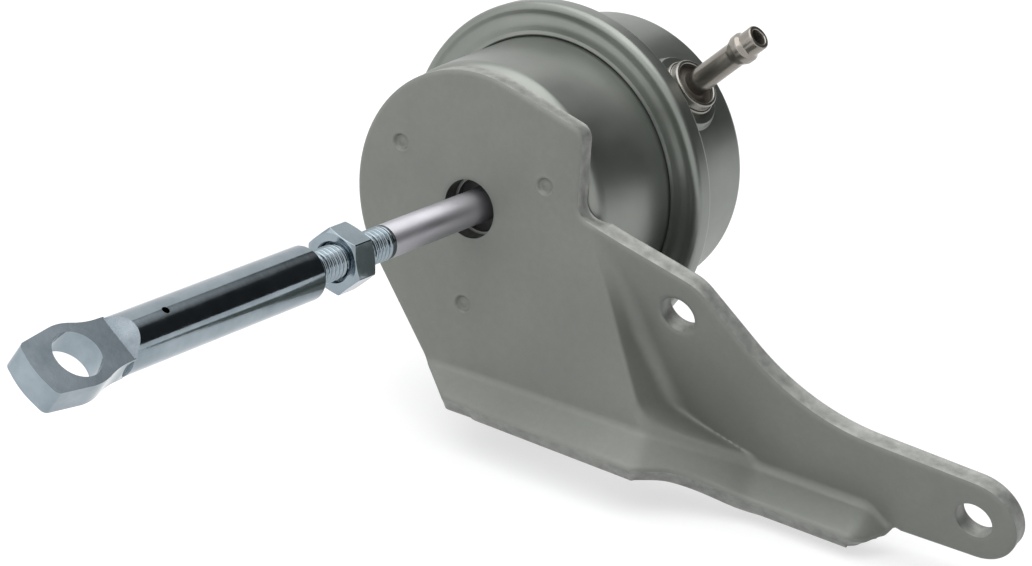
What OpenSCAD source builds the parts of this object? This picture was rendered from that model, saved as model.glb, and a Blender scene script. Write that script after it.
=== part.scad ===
// Pneumatic turbo actuator: a sprung diaphragm can on a pressed bracket, with an adjustable rod.
// The rod's axis is X. The rod leaves the can toward -X, the arm reaches toward -Y, and +Z is up.
// Inside the modules x = 0 is the front face of the bracket's plate and the rod's axis is y = z = 0.
// The part's own origin is the middle of the near bolt hole, in the middle of the sheet.

/* [Bracket plate] */
// Thickness of the bracket's sheet
sheet = 3.3; // [2.5:0.1:4.5]
// Radius of the plate's round top
plate_r = 24.4; // [23.5:0.1:27]
// Radius of the hole that the rod passes through
rod_hole_r = 5.25; // [4.9:0.05:7]
// Distance from the rod's axis to the plate's straight right edge
plate_edge = 22.2; // [20:0.1:23]
// Radius of the plate's top right corner
plate_corner_r = 2.5; // [1:0.1:5]
// Radius of the notch between the plate's right edge and the arm
notch_r = 3.0; // [1.5:0.1:5]
// Height of the tapered left edge's upper end below the rod's axis
taper_drop = 12.2; // [8:0.1:18]
// Distance from the rod's axis to the left end of the fold
foot_left = 7.4; // [2:0.1:12]
// Number of weld points between the plate and the can
weld_count = 3; // [3:1:6]
// Radius of the circle of weld points
weld_circle_r = 17.8; // [12:0.1:20]
// Radius of a weld point's dimple
weld_r = 1.25; // [0.8:0.05:2]
// Depth of a weld point's dimple
weld_depth = 0.4; // [0.2:0.05:0.8]

/* [Bracket arm] */
// Angle by which the arm leans back from the plate
arm_tilt = 17.5; // [10:0.5:22]
// Height above the rod's axis where the arm's face meets the plate's face
arm_meet = 2.0; // [0:0.1:4]
// Distance of the near bolt hole along the arm
near_u = 41.6; // [40:0.1:48]
// Drop of the near bolt hole down the arm
near_v = 11.4; // [9:0.1:14]
// Distance of the far bolt hole along the arm
far_u = 96.1; // [88:0.1:110]
// Drop of the far bolt hole down the arm
far_v = 34.6; // [31:0.1:37]
// Radius of the bolt holes
bolt_hole_r = 3.35; // [2.6:0.05:4.3]
// Radius of the arm's ends round the bolt holes
lug_r = 7.7; // [7:0.1:9.5]
// Slope of the arm's top edge above the near bolt hole, in degrees
shoulder_slope = 17.2; // [12:0.1:22]
// Slope of the arm's top edge past the near bolt hole, in degrees
waist_slope = 47; // [40:0.5:55]
// Slope of the arm's top edge before the far bolt hole, in degrees
tail_slope = 4; // [0:0.5:9]
// Radius of the hollow curve between those two edges
waist_r = 34; // [15:1:40]

/* [Bracket lip] */
// Drop of the plate's fold below the rod's axis
fold_drop = 30.0; // [27:0.1:33]
// Drop of the arm's fold down the arm
arm_fold_v = 37.9; // [36:0.1:42]
// How far the arm's fold drops for each millimetre along the arm
arm_fold_fall = 0.025; // [0:0.005:0.06]
// Angle of the lip forward from straight down
lip_angle = 59; // [30:1:70]
// Depth of the lip under the rod
lip_depth = 6.6; // [5:0.1:9]
// How much the lip deepens for each millimetre toward the arm
lip_widening = 0.026; // [0:0.002:0.04]
// Depth of the lip along the arm
arm_lip_depth = 7.3; // [5:0.1:9]
// Radius inside the fold
fold_r = 1.5; // [1:0.1:4]
// Distance along the arm where the lip starts to flatten
lip_run = 76; // [66:0.5:80]
// Length over which the lip flattens
lip_flatten = 6.5; // [5:0.5:14]

/* [Bracket joggle] */
// Distance from the rod's axis to the top of the step between plate and arm
joggle_y = 25.6; // [24.5:0.1:27]
// How far the step moves outward for each millimetre down
joggle_lean = 0.43; // [0.2:0.01:0.5]
// Radius of the step's outer bend, on the front face
joggle_outer_r = 4.0; // [3.8:0.1:7]
// Radius of the step's inner bend, on the front face
joggle_inner_r = 6.0; // [1:0.1:8]
// Steepest angle of the step
joggle_angle = 78; // [50:1:85]
// Angle of the step along the lip
joggle_lip_angle = 52; // [25:1:70]

/* [Can] */
// Wall thickness of the two shells
shell_wall = 1.0; // [0.6:0.05:1.4]
// Outer radius of the front shell at its front corner
front_r = 24.9; // [23:0.1:26]
// Outer radius of the front shell at its flange
front_back_r = 25.7; // [25:0.1:26]
// Radius of the front shell's front corner
front_corner_r = 3.0; // [1.5:0.1:5]
// Length of the front shell from its front wall to its flange
front_len = 21.5; // [18:0.5:26]
// Outer radius of the rolled rim
rim_r = 31.9; // [31:0.1:35]
// Outer radius of the rear shell
rear_r = 26.0; // [25.2:0.1:27]
// Length of the rear shell behind the rim
rear_len = 19.8; // [17:0.1:26]
// Radius of the rear shell's back corner
rear_corner_r = 1.6; // [1.1:0.1:4]

/* [Hose nipple] */
// Angle of the nipple, from the arm's side up
nipple_angle = 43.3; // [0:0.1:180]
// Distance of the nipple behind the rim
nipple_back = 8.9; // [8:0.1:11]
// Outer radius of the nipple's tube
nipple_r = 2.25; // [1.8:0.05:3]
// Bore radius of the nipple's tube
nipple_bore_r = 1.4; // [0.8:0.05:1.6]
// Length of the nipple outside the shell
nipple_len = 19.0; // [14:0.5:30]
// Radius of the bead that holds the hose
bead_r = 2.8; // [2.5:0.05:3.6]
// Length of the bead's crest
bead_land = 0.9; // [0.6:0.1:1.2]
// Distance of the bead from the tip
bead_from_tip = 3.9; // [3:0.1:6]
// Radius of the flat pad under the nipple
pad_r = 7.0; // [5.6:0.1:8]
// Outer radius of the collar's foot
collar_foot_r = 5.25; // [4.6:0.05:5.5]
// Outer radius of the collar's neck
collar_neck_r = 4.75; // [4.2:0.05:4.8]
// Height of the collar above its pad
collar_h = 2.7; // [2:0.1:4]

/* [Rod] */
// Radius of the rod and of its thread
rod_r = 3.0; // [2.5:0.05:3.5]
// Distance from the rod end's sight hole back to the rod's front end
tip_back = 4.75; // [2:0.05:12]
// Across flats of the lock nut
nut_af = 10; // [9:0.1:12]
// Thickness of the lock nut
nut_h = 5; // [4:0.1:6]
// Distance from the plate's front face to the lock nut's front face
nut_front = 36.8; // [30:0.1:40]
// Turn of the lock nut on the thread, in degrees
nut_turn = -12.1; // [-30:0.1:30]

/* [Rod end] */
// Outer radius of the rod end's barrel
barrel_r = 4.64; // [4.2:0.02:5.4]
// Distance from the plate's front face to the barrel's near end
barrel_near = 43.6; // [42:0.1:50]
// Distance from the plate's front face to the middle of the eye
eye_reach = 96.6; // [93:0.1:110]
// Radius of the eye's hole
eye_hole_r = 4.1; // [3:0.05:4.4]
// Thickness of the flattened eye
eye_t = 4.8; // [4:0.1:5.6]
// Half width of the flattened eye
eye_half_w = 5.9; // [5.5:0.05:7]
// Distance from the middle of the eye to the front end
eye_nose = 8.9; // [7.5:0.1:11]
// Angle of the eye's flat side, from the arm's side up
eye_angle = 55; // [0:1:180]
// Radius of the sight hole in the barrel
sight_r = 0.65; // [0.4:0.05:1]
// Distance from the middle of the eye back to the sight hole
sight_back = 17.85; // [15:0.05:20]
// Angle of the sight hole, from the arm's side up
sight_angle = 62; // [0:1:180]

/* [Inside the can] */
// Thickness of the diaphragm's rubber
rubber_t = 0.8; // [0.5:0.05:1.2]
// Thickness of the diaphragm's clamped edge
rubber_edge_t = 1.2; // [0.8:0.05:2]
// Outer radius of the piston cup
piston_r = 21.0; // [18:0.1:21.3]
// Thickness of the piston cup
piston_wall = 1.0; // [0.6:0.05:1.4]
// Length of the piston cup's skirt
piston_skirt = 14; // [8:0.5:18]
// Radius of the retainer plate behind the diaphragm
retainer_r = 16; // [10:0.5:19]
// Thickness of the retainer plate
retainer_t = 1.0; // [0.6:0.1:1.5]
// Thickness of the shoulder washer and of the rivet washer
washer_t = 0.8; // [0.5:0.05:1.2]
// Radius of the shoulder washer and of the rivet washer
washer_r = 7; // [5:0.1:9]
// Height of the riveted head at the rod's back end
head_h = 1.0; // [0.6:0.1:1.4]
// Radius of the spring's wire
wire_r = 1.1; // [0.8:0.05:1.4]
// Mean radius of the spring's coils
spring_r = 14; // [13:0.1:16]
// Number of the spring's turns
spring_turns = 6; // [5:1:7]
// Outer radius of the rod's guide ring
guide_r = 5.6; // [5.3:0.05:6]
// Length of the rod's guide ring
guide_len = 3.6; // [2.5:0.1:5]

/* [Hidden] */

// Clearances: between a shaft and its bore, and between pieces that don't touch
running = 0.05;
gap = 0.3;
// How far a cutter reaches past what it cuts
over = 1;
// Smoothness of round pieces and segments in a profile's rounded corner
round_fn = 72;
small_fn = 48;
corner_steps = 4;

// Places along the rod's axis, from front to back
can_front = sheet;
flange_front = can_front + front_len;
flange_back = flange_front + shell_wall;
clamp_back = flange_back + rubber_edge_t;
rim_front = flange_front - shell_wall;
rim_back = clamp_back + shell_wall;
can_back = rim_back + rear_len;
nipple_x = rim_back + nipple_back;

// The riveted stack at the rod's back end, laid out forward from the back wall
head_gap = 0.5;
head_back = can_back - shell_wall - head_gap;
head_front = head_back - head_h;
rivet_washer_front = head_front - washer_t;
retainer_front = rivet_washer_front - retainer_t;
piston_back = retainer_front - rubber_t;
piston_front = piston_back - piston_wall;
shoulder_x = piston_front - washer_t;
neck_step = 0.5;
neck_r = rod_r - neck_step;

// The rod's front end, seen from the sight hole inside the rod end
rod_reach = eye_reach - sight_back - tip_back;

// The rod's guide and the spring's seat, behind the front wall
inner_front = can_front + shell_wall;
shell_hole_r = guide_r - 0.8;
cage_wall = 0.8;
cage_in_r = guide_r + 0.5;
cage_r = cage_in_r + cage_wall;
cage_depth = guide_len + gap;
seat_t = 1.0;
seat_in_r = cage_r + 3;
seat_lip_r = spring_r - wire_r - gap;
spring_front = inner_front + seat_t;

// Unit directions in the arm's plane, and the part's origin
arm_down = [sin(arm_tilt), 0, -cos(arm_tilt)];
arm_back = [cos(arm_tilt), 0, sin(arm_tilt)];
function arm_point(u, v) = [0, -u, arm_meet] + v * arm_down;
origin = arm_point(near_u, near_v) + arm_back * sheet / 2;

// Helpers

// Moves a piece from the rod's frame to the part's own frame.
module placed() {
    translate(-origin) children();
}

// Turns a profile of [radius, x] points round the rod's axis.
module turned(profile, fn = round_fn) {
    rotate([0, 90, 0]) rotate_extrude($fn = fn) polygon(profile);
}

// A plain disc or tube round the rod's axis, from x0 to x1.
module ring(x0, x1, outer, inner = 0) {
    turned(inner > 0 ? [[inner, x0], [outer, x0], [outer, x1], [inner, x1]]
                     : [[0, x0], [outer, x0], [outer, x1], [0, x1]]);
}

// Lays a flat outline of [y, z] points in the plate's plane, from x0 to x1.
module on_plate(x0, x1) {
    translate([x0, 0, 0]) rotate([90, 0, 90]) linear_extrude(x1 - x0) children();
}

// Lays a flat outline of [-u, -v] points in the arm's plane, from depth d0 to d1.
module on_arm(d0, d1) {
    translate([0, 0, arm_meet]) rotate([0, -arm_tilt, 0]) on_plate(d0, d1) children();
}

// Stands a piece on the rod's axis at x, pointing away from it at an angle from the arm's side up.
module radial(x, angle) {
    translate([x, 0, 0]) rotate([90 - angle, 0, 0]) children();
}

function unit(v) = v / norm(v);

// Points of a circular arc, from angle a0 to angle a1.
function arc(centre, r, a0, a1, steps = corner_steps) =
    [for (i = [0:steps]) centre + r * [cos(a0 + (a1 - a0) * i / steps), sin(a0 + (a1 - a0) * i / steps)]];

// Rounds each corner of an outline given as [x, y, corner radius].
function rounded(corners, steps = 8) = [
    for (i = [0:len(corners) - 1])
        let (c = corners[i], n = len(corners), p = [c[0], c[1]],
             a = unit([corners[(i + n - 1) % n][0], corners[(i + n - 1) % n][1]] - p),
             b = unit([corners[(i + 1) % n][0], corners[(i + 1) % n][1]] - p),
             half = acos(max(-1, min(1, a * b))) / 2)
        each c[2] == 0 ? [p]
            : let (middle = p + unit(a + b) * c[2] / sin(half),
                   start = p + a * c[2] / tan(half) - middle,
                   end = p + b * c[2] / tan(half) - middle,
                   turn = 180 - 2 * half,
                   side = start[0] * end[1] - start[1] * end[0] > 0 ? 1 : -1,
                   from = atan2(start[1], start[0]))
              [for (k = [0:steps]) middle + c[2] * [cos(from + side * turn * k / steps),
                                                    sin(from + side * turn * k / steps)]]
];

// Bracket

// The sheet's front face is two straight profiles, one for the plate and one for the arm, and a step
// that carries each point of the first profile over to the second. A profile is [x, z] points down
// the sheet: the flat part, the fold, and the lip's edge.
flat_parts = [0, 0.2, 0.4, 0.6, 0.7, 0.8, 0.9, 1];
fold_steps = 5;
step_arc = 5;
sheet_top = plate_r + 3 * over;

function profile(tilt, fold_v, bend, r, depth) =
    let (down = [sin(tilt), -cos(tilt)], front = [-cos(tilt), -sin(tilt)], top = [0, arm_meet],
         reach = r * tan(bend / 2), start = top + down * (fold_v - reach), middle = start + front * r,
         lip = down * cos(bend) + front * sin(bend))
    concat([top - down * sheet_top],
           [for (f = flat_parts) top + (start - top) * f],
           [for (i = [1:fold_steps]) middle + r * (down * sin(bend * i / fold_steps)
                                                   - front * cos(bend * i / fold_steps))],
           [top + down * fold_v + lip * depth]);

function plate_profile(y) =
    profile(0, arm_meet + fold_drop, lip_angle, fold_r, lip_depth - lip_widening * y);

// The lip flattens toward the arm's far end: its bend falls smoothly to almost nothing.
function ease(t) = t <= 0 ? 0 : t >= 1 ? 1 : t * t * (3 - 2 * t);
function arm_bend(u) = 2 + (arm_tilt + lip_angle - 2) * (1 - ease((u - lip_run) / lip_flatten));
function arm_profile(u) =
    profile(arm_tilt, arm_fold_v + arm_fold_fall * (u - near_u), arm_bend(u), fold_r, arm_lip_depth);

// The step's path, as [across, share of the depth]: an arc, a straight web and an arc back.
// It is steep in the flat part and eases to a gentle run by the fold.
bend_r = joggle_outer_r + joggle_inner_r;
joggle_foot = joggle_y + joggle_lean * (arm_meet + fold_drop);
least_depth = 0.8;
ease_from = 0.6;
function flat_share(row) =
    row == 0 ? 0 : flat_parts[min(row, len(flat_parts)) - 1];
function steepest(row) =
    let (t = (flat_share(row) - ease_from) / (1 - ease_from))
    joggle_angle + (joggle_lip_angle - joggle_angle) * ease(t);
function step_angle(depth, cap) = min(cap, acos(max(0, 1 - depth / bend_r)));
function step_web(depth, a) = max(gap, (depth - bend_r * (1 - cos(a))) / sin(a));
function step_width(depth, a) = bend_r * sin(a) + step_web(depth, a) * cos(a);
function step_path(depth, a) =
    concat([for (i = [0:step_arc]) [joggle_outer_r * sin(a * i / step_arc),
                                    joggle_outer_r * (1 - cos(a * i / step_arc)) / depth]],
           [for (i = [step_arc:-1:0]) [step_width(depth, a) - joggle_inner_r * sin(a * i / step_arc),
                                       1 - joggle_inner_r * (1 - cos(a * i / step_arc)) / depth]]);

// The middle of the outer bend runs along a straight line that leans outward.
function row_step(row) =
    let (p = plate_profile(-joggle_foot)[row], q = arm_profile(joggle_foot)[row],
         depth = max(least_depth, norm(q - p)),
         a = step_angle(depth, steepest(row)), down = norm(p - [0, arm_meet]),
         start = joggle_y + (row == 0 ? 0 : joggle_lean * down - joggle_outer_r * sin(a / 2)))
    [for (s = step_path(depth, a)) let (m = p + (q - p) * s[1]) [m[0], -(start + s[0]), m[1]]];

// One row of front points from the plate's left side to past the arm's end.
arm_stations = [for (i = [0:5]) lip_run + lip_flatten * i / 5];
sheet_end = far_u + lug_r + 2 * over;
sheet_side = plate_r + 2 * over;
side_profile = plate_profile(sheet_side);
rows = len(side_profile);
function front_row(row) =
    concat([[side_profile[row][0], sheet_side, side_profile[row][1]]],
           row_step(row),
           [for (u = concat(arm_stations, [sheet_end]))
               [arm_profile(u)[row][0], -u, arm_profile(u)[row][1]]]);
front_grid = [for (row = [0:rows - 1]) front_row(row)];
columns = len(front_grid[0]);

// The back face is the front face moved by the sheet's thickness along its own normal.
function back_point(j, i) =
    let (across = front_grid[j][min(i + 1, columns - 1)] - front_grid[j][max(i - 1, 0)],
         down = front_grid[min(j + 1, rows - 1)][i] - front_grid[max(j - 1, 0)][i])
    front_grid[j][i] + unit(cross(across, down)) * sheet;
back_grid = [for (j = [0:rows - 1]) [for (i = [0:columns - 1]) back_point(j, i)]];

function split(a, b, c, d) = [[a, b, c], [a, c, d]];

module folded_sheet() {
    back = rows * columns;
    function at(j, i) = j * columns + i;
    last_row = rows - 1;
    last_column = columns - 1;
    faces = [
        for (j = [0:last_row - 1], i = [0:last_column - 1])
            each concat(split(at(j, i), at(j, i + 1), at(j + 1, i + 1), at(j + 1, i)),
                        split(back + at(j + 1, i), back + at(j + 1, i + 1),
                              back + at(j, i + 1), back + at(j, i))),
        for (i = [0:last_column - 1])
            each concat(split(at(0, i + 1), at(0, i), back + at(0, i), back + at(0, i + 1)),
                        split(at(last_row, i), at(last_row, i + 1),
                              back + at(last_row, i + 1), back + at(last_row, i))),
        for (j = [0:last_row - 1])
            each concat(split(at(j, 0), at(j + 1, 0), back + at(j + 1, 0), back + at(j, 0)),
                        split(at(j + 1, last_column), at(j, last_column),
                              back + at(j, last_column), back + at(j + 1, last_column)))
    ];
    polyhedron([for (grid = [front_grid, back_grid], row = grid) each row], faces);
}

// The arm's top edge leans down past the notch, turns round the near bolt hole, and drops to the tail.
function edge_point(u, v, slope) = [u, v] + lug_r * [sin(slope), -cos(slope)];
shoulder_point = edge_point(near_u, near_v, shoulder_slope);
function shoulder_v(u) = shoulder_point[1] + (u - shoulder_point[0]) * tan(shoulder_slope);
function on_plate_z(v) = arm_meet - v * cos(arm_tilt);

module plate_outline() {
    top_slope = shoulder_slope - 2;
    top_y = plate_r * sin(top_slope);
    left = sqrt(plate_r * plate_r - taper_drop * taper_drop);
    low = fold_drop + 2 * lip_depth + sheet;
    reach = joggle_y + 10;
    circle(r = plate_r, $fn = 128);
    polygon(rounded([
        [0, 0, 0],
        [-top_y, sqrt(plate_r * plate_r - top_y * top_y), 0],
        [-plate_edge, plate_r * cos(top_slope) - (plate_edge - top_y) * tan(top_slope), plate_corner_r],
        [-plate_edge, on_plate_z(shoulder_v(plate_edge)), notch_r],
        [-reach, on_plate_z(shoulder_v(reach)), 0],
        [-reach, -low, 0],
        [3, -low, 0],
        [-1.5, -fold_drop - 5.5, 3],
        [foot_left, -fold_drop, 5],
        [left, -taper_drop, 0]
    ]));
}

// The end of the tail: the lug round the far bolt hole and the edges that run into it.
module arm_outline() {
    tail = edge_point(far_u, far_v, tail_slope);
    waist = edge_point(near_u, near_v, waist_slope);
    cross_u = (tail[1] - waist[1] + waist[0] * tan(waist_slope) - tail[0] * tan(tail_slope))
              / (tan(waist_slope) - tan(tail_slope));
    cross_v = waist[1] + (cross_u - waist[0]) * tan(waist_slope);
    low = arm_fold_v + arm_lip_depth + 3 * sheet;
    start = joggle_y - 1;
    lug_foot = far_v + lug_r;
    mirror([1, 0, 0]) mirror([0, 1, 0]) {
        translate([near_u, near_v]) circle(r = lug_r, $fn = round_fn);
        translate([far_u, far_v]) circle(r = lug_r, $fn = round_fn);
        polygon(rounded([
            [start, shoulder_v(start), 0],
            [shoulder_point[0], shoulder_point[1], 0],
            [near_u, near_v, 0],
            [waist[0], waist[1], 0],
            [cross_u, cross_v, waist_r],
            [tail[0], tail[1], 0],
            [far_u, far_v, 0],
            [far_u, lug_foot, 0],
            [lip_run + lip_flatten + 1.5, lug_foot, 6],
            [lip_run + 2.5, lug_foot + 2.2, 3],
            [lip_run - 1, low, 0],
            [start, low, 0]
        ]));
    }
}

module bolt_hole(u, v) {
    on_arm(-over - sheet, 2 * sheet + over) translate([-u, -v]) circle(r = bolt_hole_r, $fn = small_fn);
}

module bracket() {
    back = fold_drop + arm_fold_v;
    color("#8d9189") placed() difference() {
        intersection() {
            folded_sheet();
            union() {
                on_plate(-back, back) plate_outline();
                on_arm(-back, back) arm_outline();
            }
        }
        on_plate(-over, sheet + over) circle(r = rod_hole_r, $fn = small_fn);
        bolt_hole(near_u, near_v);
        bolt_hole(far_u, far_v);
        for (i = [0:weld_count - 1])
            radial(0, 150 - i * 360 / weld_count) translate([0, 0, weld_circle_r])
                rotate([0, 90, 0]) translate([0, 0, -over])
                    cylinder(r = weld_r, h = over + weld_depth, $fn = small_fn);
    }
}

// Can

// The front shell: a drawn cup with a flange, open to the back.
module front_shell() {
    in_corner = front_corner_r - shell_wall;
    flange_r = rim_r - shell_wall - running;
    corner = [front_r - front_corner_r, can_front + front_corner_r];
    color("#b4b8b6") placed() turned(concat(
        [[shell_hole_r, can_front]],
        arc(corner, front_corner_r, -90, 0),
        [[front_back_r, flange_front], [flange_r, flange_front], [flange_r, flange_back],
         [front_back_r - shell_wall, flange_back]],
        arc(corner, in_corner, 0, -90),
        [[shell_hole_r, inner_front]]), 96);
}

// The rolled rim's front face, from its free edge out: a soft groove, a land, a second groove, a bead.
function rim_face() =
    let (edge = front_back_r + gap, land = rim_r - edge)
    [[edge, flange_front], [edge, rim_front + 0.45], [edge + 0.12 * land, rim_front + 0.05],
     [edge + 0.2 * land, rim_front + 0.3], [edge + 0.3 * land, rim_front + 0.1],
     [edge + 0.42 * land, rim_front], [edge + 0.54 * land, rim_front + 0.3],
     [edge + 0.64 * land, rim_front], [edge + 0.76 * land, rim_front - 0.15]];

// The rear shell: a flat-backed cup whose rim is rolled forward over the front shell's flange.
module rear_shell() {
    roll = 1.3;
    roll_turn = 75;
    foot = 1.2;
    in_corner = max(0.2, rear_corner_r - shell_wall);
    in_r = rear_r - shell_wall;
    back_corner = [rear_r - rear_corner_r, can_back - rear_corner_r];
    color("#b0b4b3") placed() difference() {
        union() {
            turned(concat(
                rim_face(),
                arc([rim_r - roll, rim_front + roll], roll, -roll_turn, 0),
                arc([rim_r - shell_wall, rim_back - shell_wall], shell_wall, 0, 90),
                arc([rear_r + foot, rim_back + foot], foot, -90, -180),
                arc(back_corner, rear_corner_r, 0, 90),
                [[0, can_back], [0, can_back - shell_wall]],
                arc([in_r - in_corner, can_back - shell_wall - in_corner], in_corner, 90, 0),
                [[in_r, clamp_back], [rim_r - shell_wall, clamp_back],
                 [rim_r - shell_wall, flange_front]]), 96);
            radial(nipple_x, nipple_angle) translate([0, 0, rear_r - 0.7 * shell_wall])
                cylinder(r = pad_r, h = pad_top - rear_r + 0.7 * shell_wall, $fn = round_fn);
        }
        radial(nipple_x, nipple_angle) cylinder(r = nipple_r + running, h = 2 * rear_r, $fn = small_fn);
        rear_cavity();
    }
}

// The space inside the rear shell, which the pad and the nipple stay out of.
module rear_cavity() {
    ring(clamp_back + over, can_back - shell_wall - over, rear_r - shell_wall - 0.001);
}

// Hose nipple

pad_top = rear_r + 0.35;
nipple_foot = rear_r - 0.8 * shell_wall;
nipple_tip = rear_r + nipple_len;
bead_at = nipple_tip - bead_from_tip;

// A drawn tube with a rolled bead, and a tip that necks in a little.
module hose_nipple() {
    crest = bead_land / 2;
    flank = 0.7;
    shoulder = 0.2;
    tip_bend = 0.3;
    color("#8f8b88") placed() radial(nipple_x, nipple_angle) rotate_extrude($fn = small_fn) polygon([
        [nipple_bore_r, nipple_foot], [nipple_r, nipple_foot], [nipple_r, bead_at - crest - flank],
        [bead_r - shoulder, bead_at - crest - shoulder], [bead_r, bead_at - crest],
        [bead_r, bead_at + crest], [bead_r - shoulder, bead_at + crest + shoulder],
        [nipple_r, bead_at + crest + flank], [nipple_r, nipple_tip - tip_bend],
        [nipple_r - tip_bend, nipple_tip], [nipple_bore_r + tip_bend / 2, nipple_tip],
        [nipple_bore_r, nipple_tip - tip_bend]]);
}

// The pressed collar that carries the tube: a foot ring on the pad and a narrower open neck.
collar_foot_h = 0.45 * collar_h;
module nipple_collar() {
    cup_r = collar_neck_r - 0.8;
    color("#9c9a98") placed() radial(nipple_x, nipple_angle) rotate_extrude($fn = small_fn) polygon([
        [nipple_r + running, pad_top], [collar_foot_r, pad_top],
        [collar_foot_r, pad_top + collar_foot_h - 0.3], [collar_foot_r - 0.3, pad_top + collar_foot_h],
        [collar_neck_r, pad_top + collar_foot_h], [collar_neck_r, pad_top + collar_h - 0.35],
        [collar_neck_r - 0.35, pad_top + collar_h], [cup_r, pad_top + collar_h],
        [cup_r, pad_top + collar_foot_h], [nipple_r + running, pad_top + collar_foot_h]]);
}

// The ring of braze metal at the bottom of the collar's cup.
module braze_ring() {
    low = pad_top + collar_foot_h;
    cup_r = collar_neck_r - 0.8 - running;
    color("#5f5a52") placed() radial(nipple_x, nipple_angle) rotate_extrude($fn = small_fn) polygon([
        [nipple_r + running, low], [cup_r, low], [cup_r, low + 0.5], [nipple_r + running, low + 0.9]]);
}

// Inside the can

// A moulded rubber hat: a clamped edge, a rolling wall, and a flat crown behind the piston cup.
module diaphragm() {
    edge_r = rim_r - shell_wall - running;
    wall_out = rear_r - shell_wall - 0.5;
    crown_out = piston_r + rubber_t + 2 * gap;
    crown_back = piston_back + rubber_t;
    color("#242424") placed() turned([
        [neck_r + running, piston_back], [crown_out - rubber_t - 0.6, piston_back],
        [crown_out - rubber_t, piston_back - 0.6], [wall_out - rubber_t, flange_back],
        [edge_r, flange_back], [edge_r, clamp_back], [wall_out, clamp_back],
        [crown_out, crown_back - 1], [crown_out - 1, crown_back], [neck_r + running, crown_back]]);
}

// The pressed cup that carries the spring's push to the rod.
module piston_cup() {
    corner = 2;
    in_corner = corner - piston_wall;
    skirt_end = piston_back - piston_skirt;
    middle = [piston_r - corner, piston_back - corner];
    color("#a8aaa8") placed() turned(concat(
        [[neck_r + running, piston_front], [piston_r - corner, piston_front]],
        arc(middle, max(0.2, in_corner), 90, 0),
        [[piston_r - piston_wall, skirt_end], [piston_r, skirt_end]],
        arc(middle, corner, 0, 90),
        [[neck_r + running, piston_back]]));
}

// The plate that holds the diaphragm's crown against the piston cup.
module retainer_plate() {
    color("#a0a2a0") placed() ring(retainer_front, rivet_washer_front, retainer_r, neck_r + running);
}

module shoulder_washer() {
    color("#9a9c9a") placed() ring(shoulder_x, piston_front, washer_r, neck_r + running);
}

module rivet_washer() {
    color("#9a9c9a") placed() ring(rivet_washer_front, head_front, washer_r, neck_r + running);
}

// The rod: a plain round bar with a chamfered front end, a turned neck and a riveted head.
module rod() {
    chamfer = 0.6;
    head_r = neck_r + 1.3;
    color("#7f7d84") placed() turned([
        [0, -rod_reach], [rod_r - chamfer, -rod_reach], [rod_r, -rod_reach + chamfer],
        [rod_r, shoulder_x], [neck_r, shoulder_x], [neck_r, head_front], [head_r, head_front],
        [head_r, head_front + 0.4 * head_h], [head_r - 0.6, head_back], [0, head_back]], small_fn);
}

// The spring: round wire on a helix with one closed turn at each end.
wire_sides = 8;
turn_steps = 24;
spring_start = spring_front + wire_r + running;
spring_end = piston_front - wire_r - running;
closed_pitch = 2 * wire_r + running;
open_pitch = (spring_end - spring_start - 2 * closed_pitch) / (spring_turns - 2);
function wire_x(turns) =
    turns < 1 ? spring_start + closed_pitch * turns
    : turns < spring_turns - 1 ? spring_start + closed_pitch + open_pitch * (turns - 1)
    : spring_end - closed_pitch * (spring_turns - turns);

function wire_ring(turns) = [
    for (k = [0:wire_sides - 1])
        let (r = spring_r + wire_r * cos(360 * k / wire_sides), a = 360 * turns)
        [wire_x(turns) + wire_r * sin(360 * k / wire_sides), r * cos(a), r * sin(a)]
];

module return_spring() {
    steps = spring_turns * turn_steps;
    points = [for (i = [0:steps]) each wire_ring(i / turn_steps)];
    sides = [for (i = [0:steps - 1], k = [0:wire_sides - 1])
        let (a = i * wire_sides, b = a + wire_sides, n = (k + 1) % wire_sides)
        [a + k, b + k, b + n, a + n]];
    ends = [[for (k = [0:wire_sides - 1]) k],
            [for (k = [wire_sides - 1:-1:0]) steps * wire_sides + k]];
    color("#6c6f72") placed() polyhedron(points, concat(sides, ends));
}

// The ring under the spring's front end, with a lip that centres it.
module spring_seat() {
    lip_in = seat_lip_r - 0.9;
    color("#9b9d9b") placed() turned([
        [seat_in_r, inner_front], [spring_r + 3, inner_front], [spring_r + 3, spring_front],
        [seat_lip_r, spring_front], [seat_lip_r, spring_front + 2], [lip_in, spring_front + 2],
        [lip_in, spring_front], [seat_in_r, spring_front]]);
}

// The cup on the front wall that keeps the guide ring, with a foot flange.
module guide_cage() {
    depth = inner_front + cage_depth;
    color("#8a8c8a") placed() turned([
        [cage_in_r, inner_front], [cage_r + 2, inner_front], [cage_r + 2, inner_front + cage_wall],
        [cage_r, inner_front + cage_wall], [cage_r, depth + cage_wall],
        [rod_r + 1, depth + cage_wall], [rod_r + 1, depth], [cage_in_r, depth]]);
}

// The ring that guides the rod. It floats in its cage, so that the rod can tilt a little.
module guide_ring() {
    color("#2f2f31") placed() ring(inner_front, inner_front + guide_len, guide_r, rod_r + running);
}

// Rod end

module lock_nut() {
    corner_r = nut_af / 2 / cos(30);
    chamfer = 0.7;
    face_r = nut_af / 2 - 0.1;
    back = nut_h - nut_front;
    color("#c3ccd4") placed() difference() {
        intersection() {
            translate([-nut_front, 0, 0]) rotate([0, 90, 0]) rotate([0, 0, nut_turn])
                cylinder(r = corner_r, h = nut_h, $fn = 6);
            turned([[0, -nut_front], [face_r, -nut_front], [corner_r + 0.1, chamfer - nut_front],
                    [corner_r + 0.1, back - chamfer], [face_r, back], [0, back]]);
        }
        ring(-nut_front - over, back + over, rod_r + running);
    }
}

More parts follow.
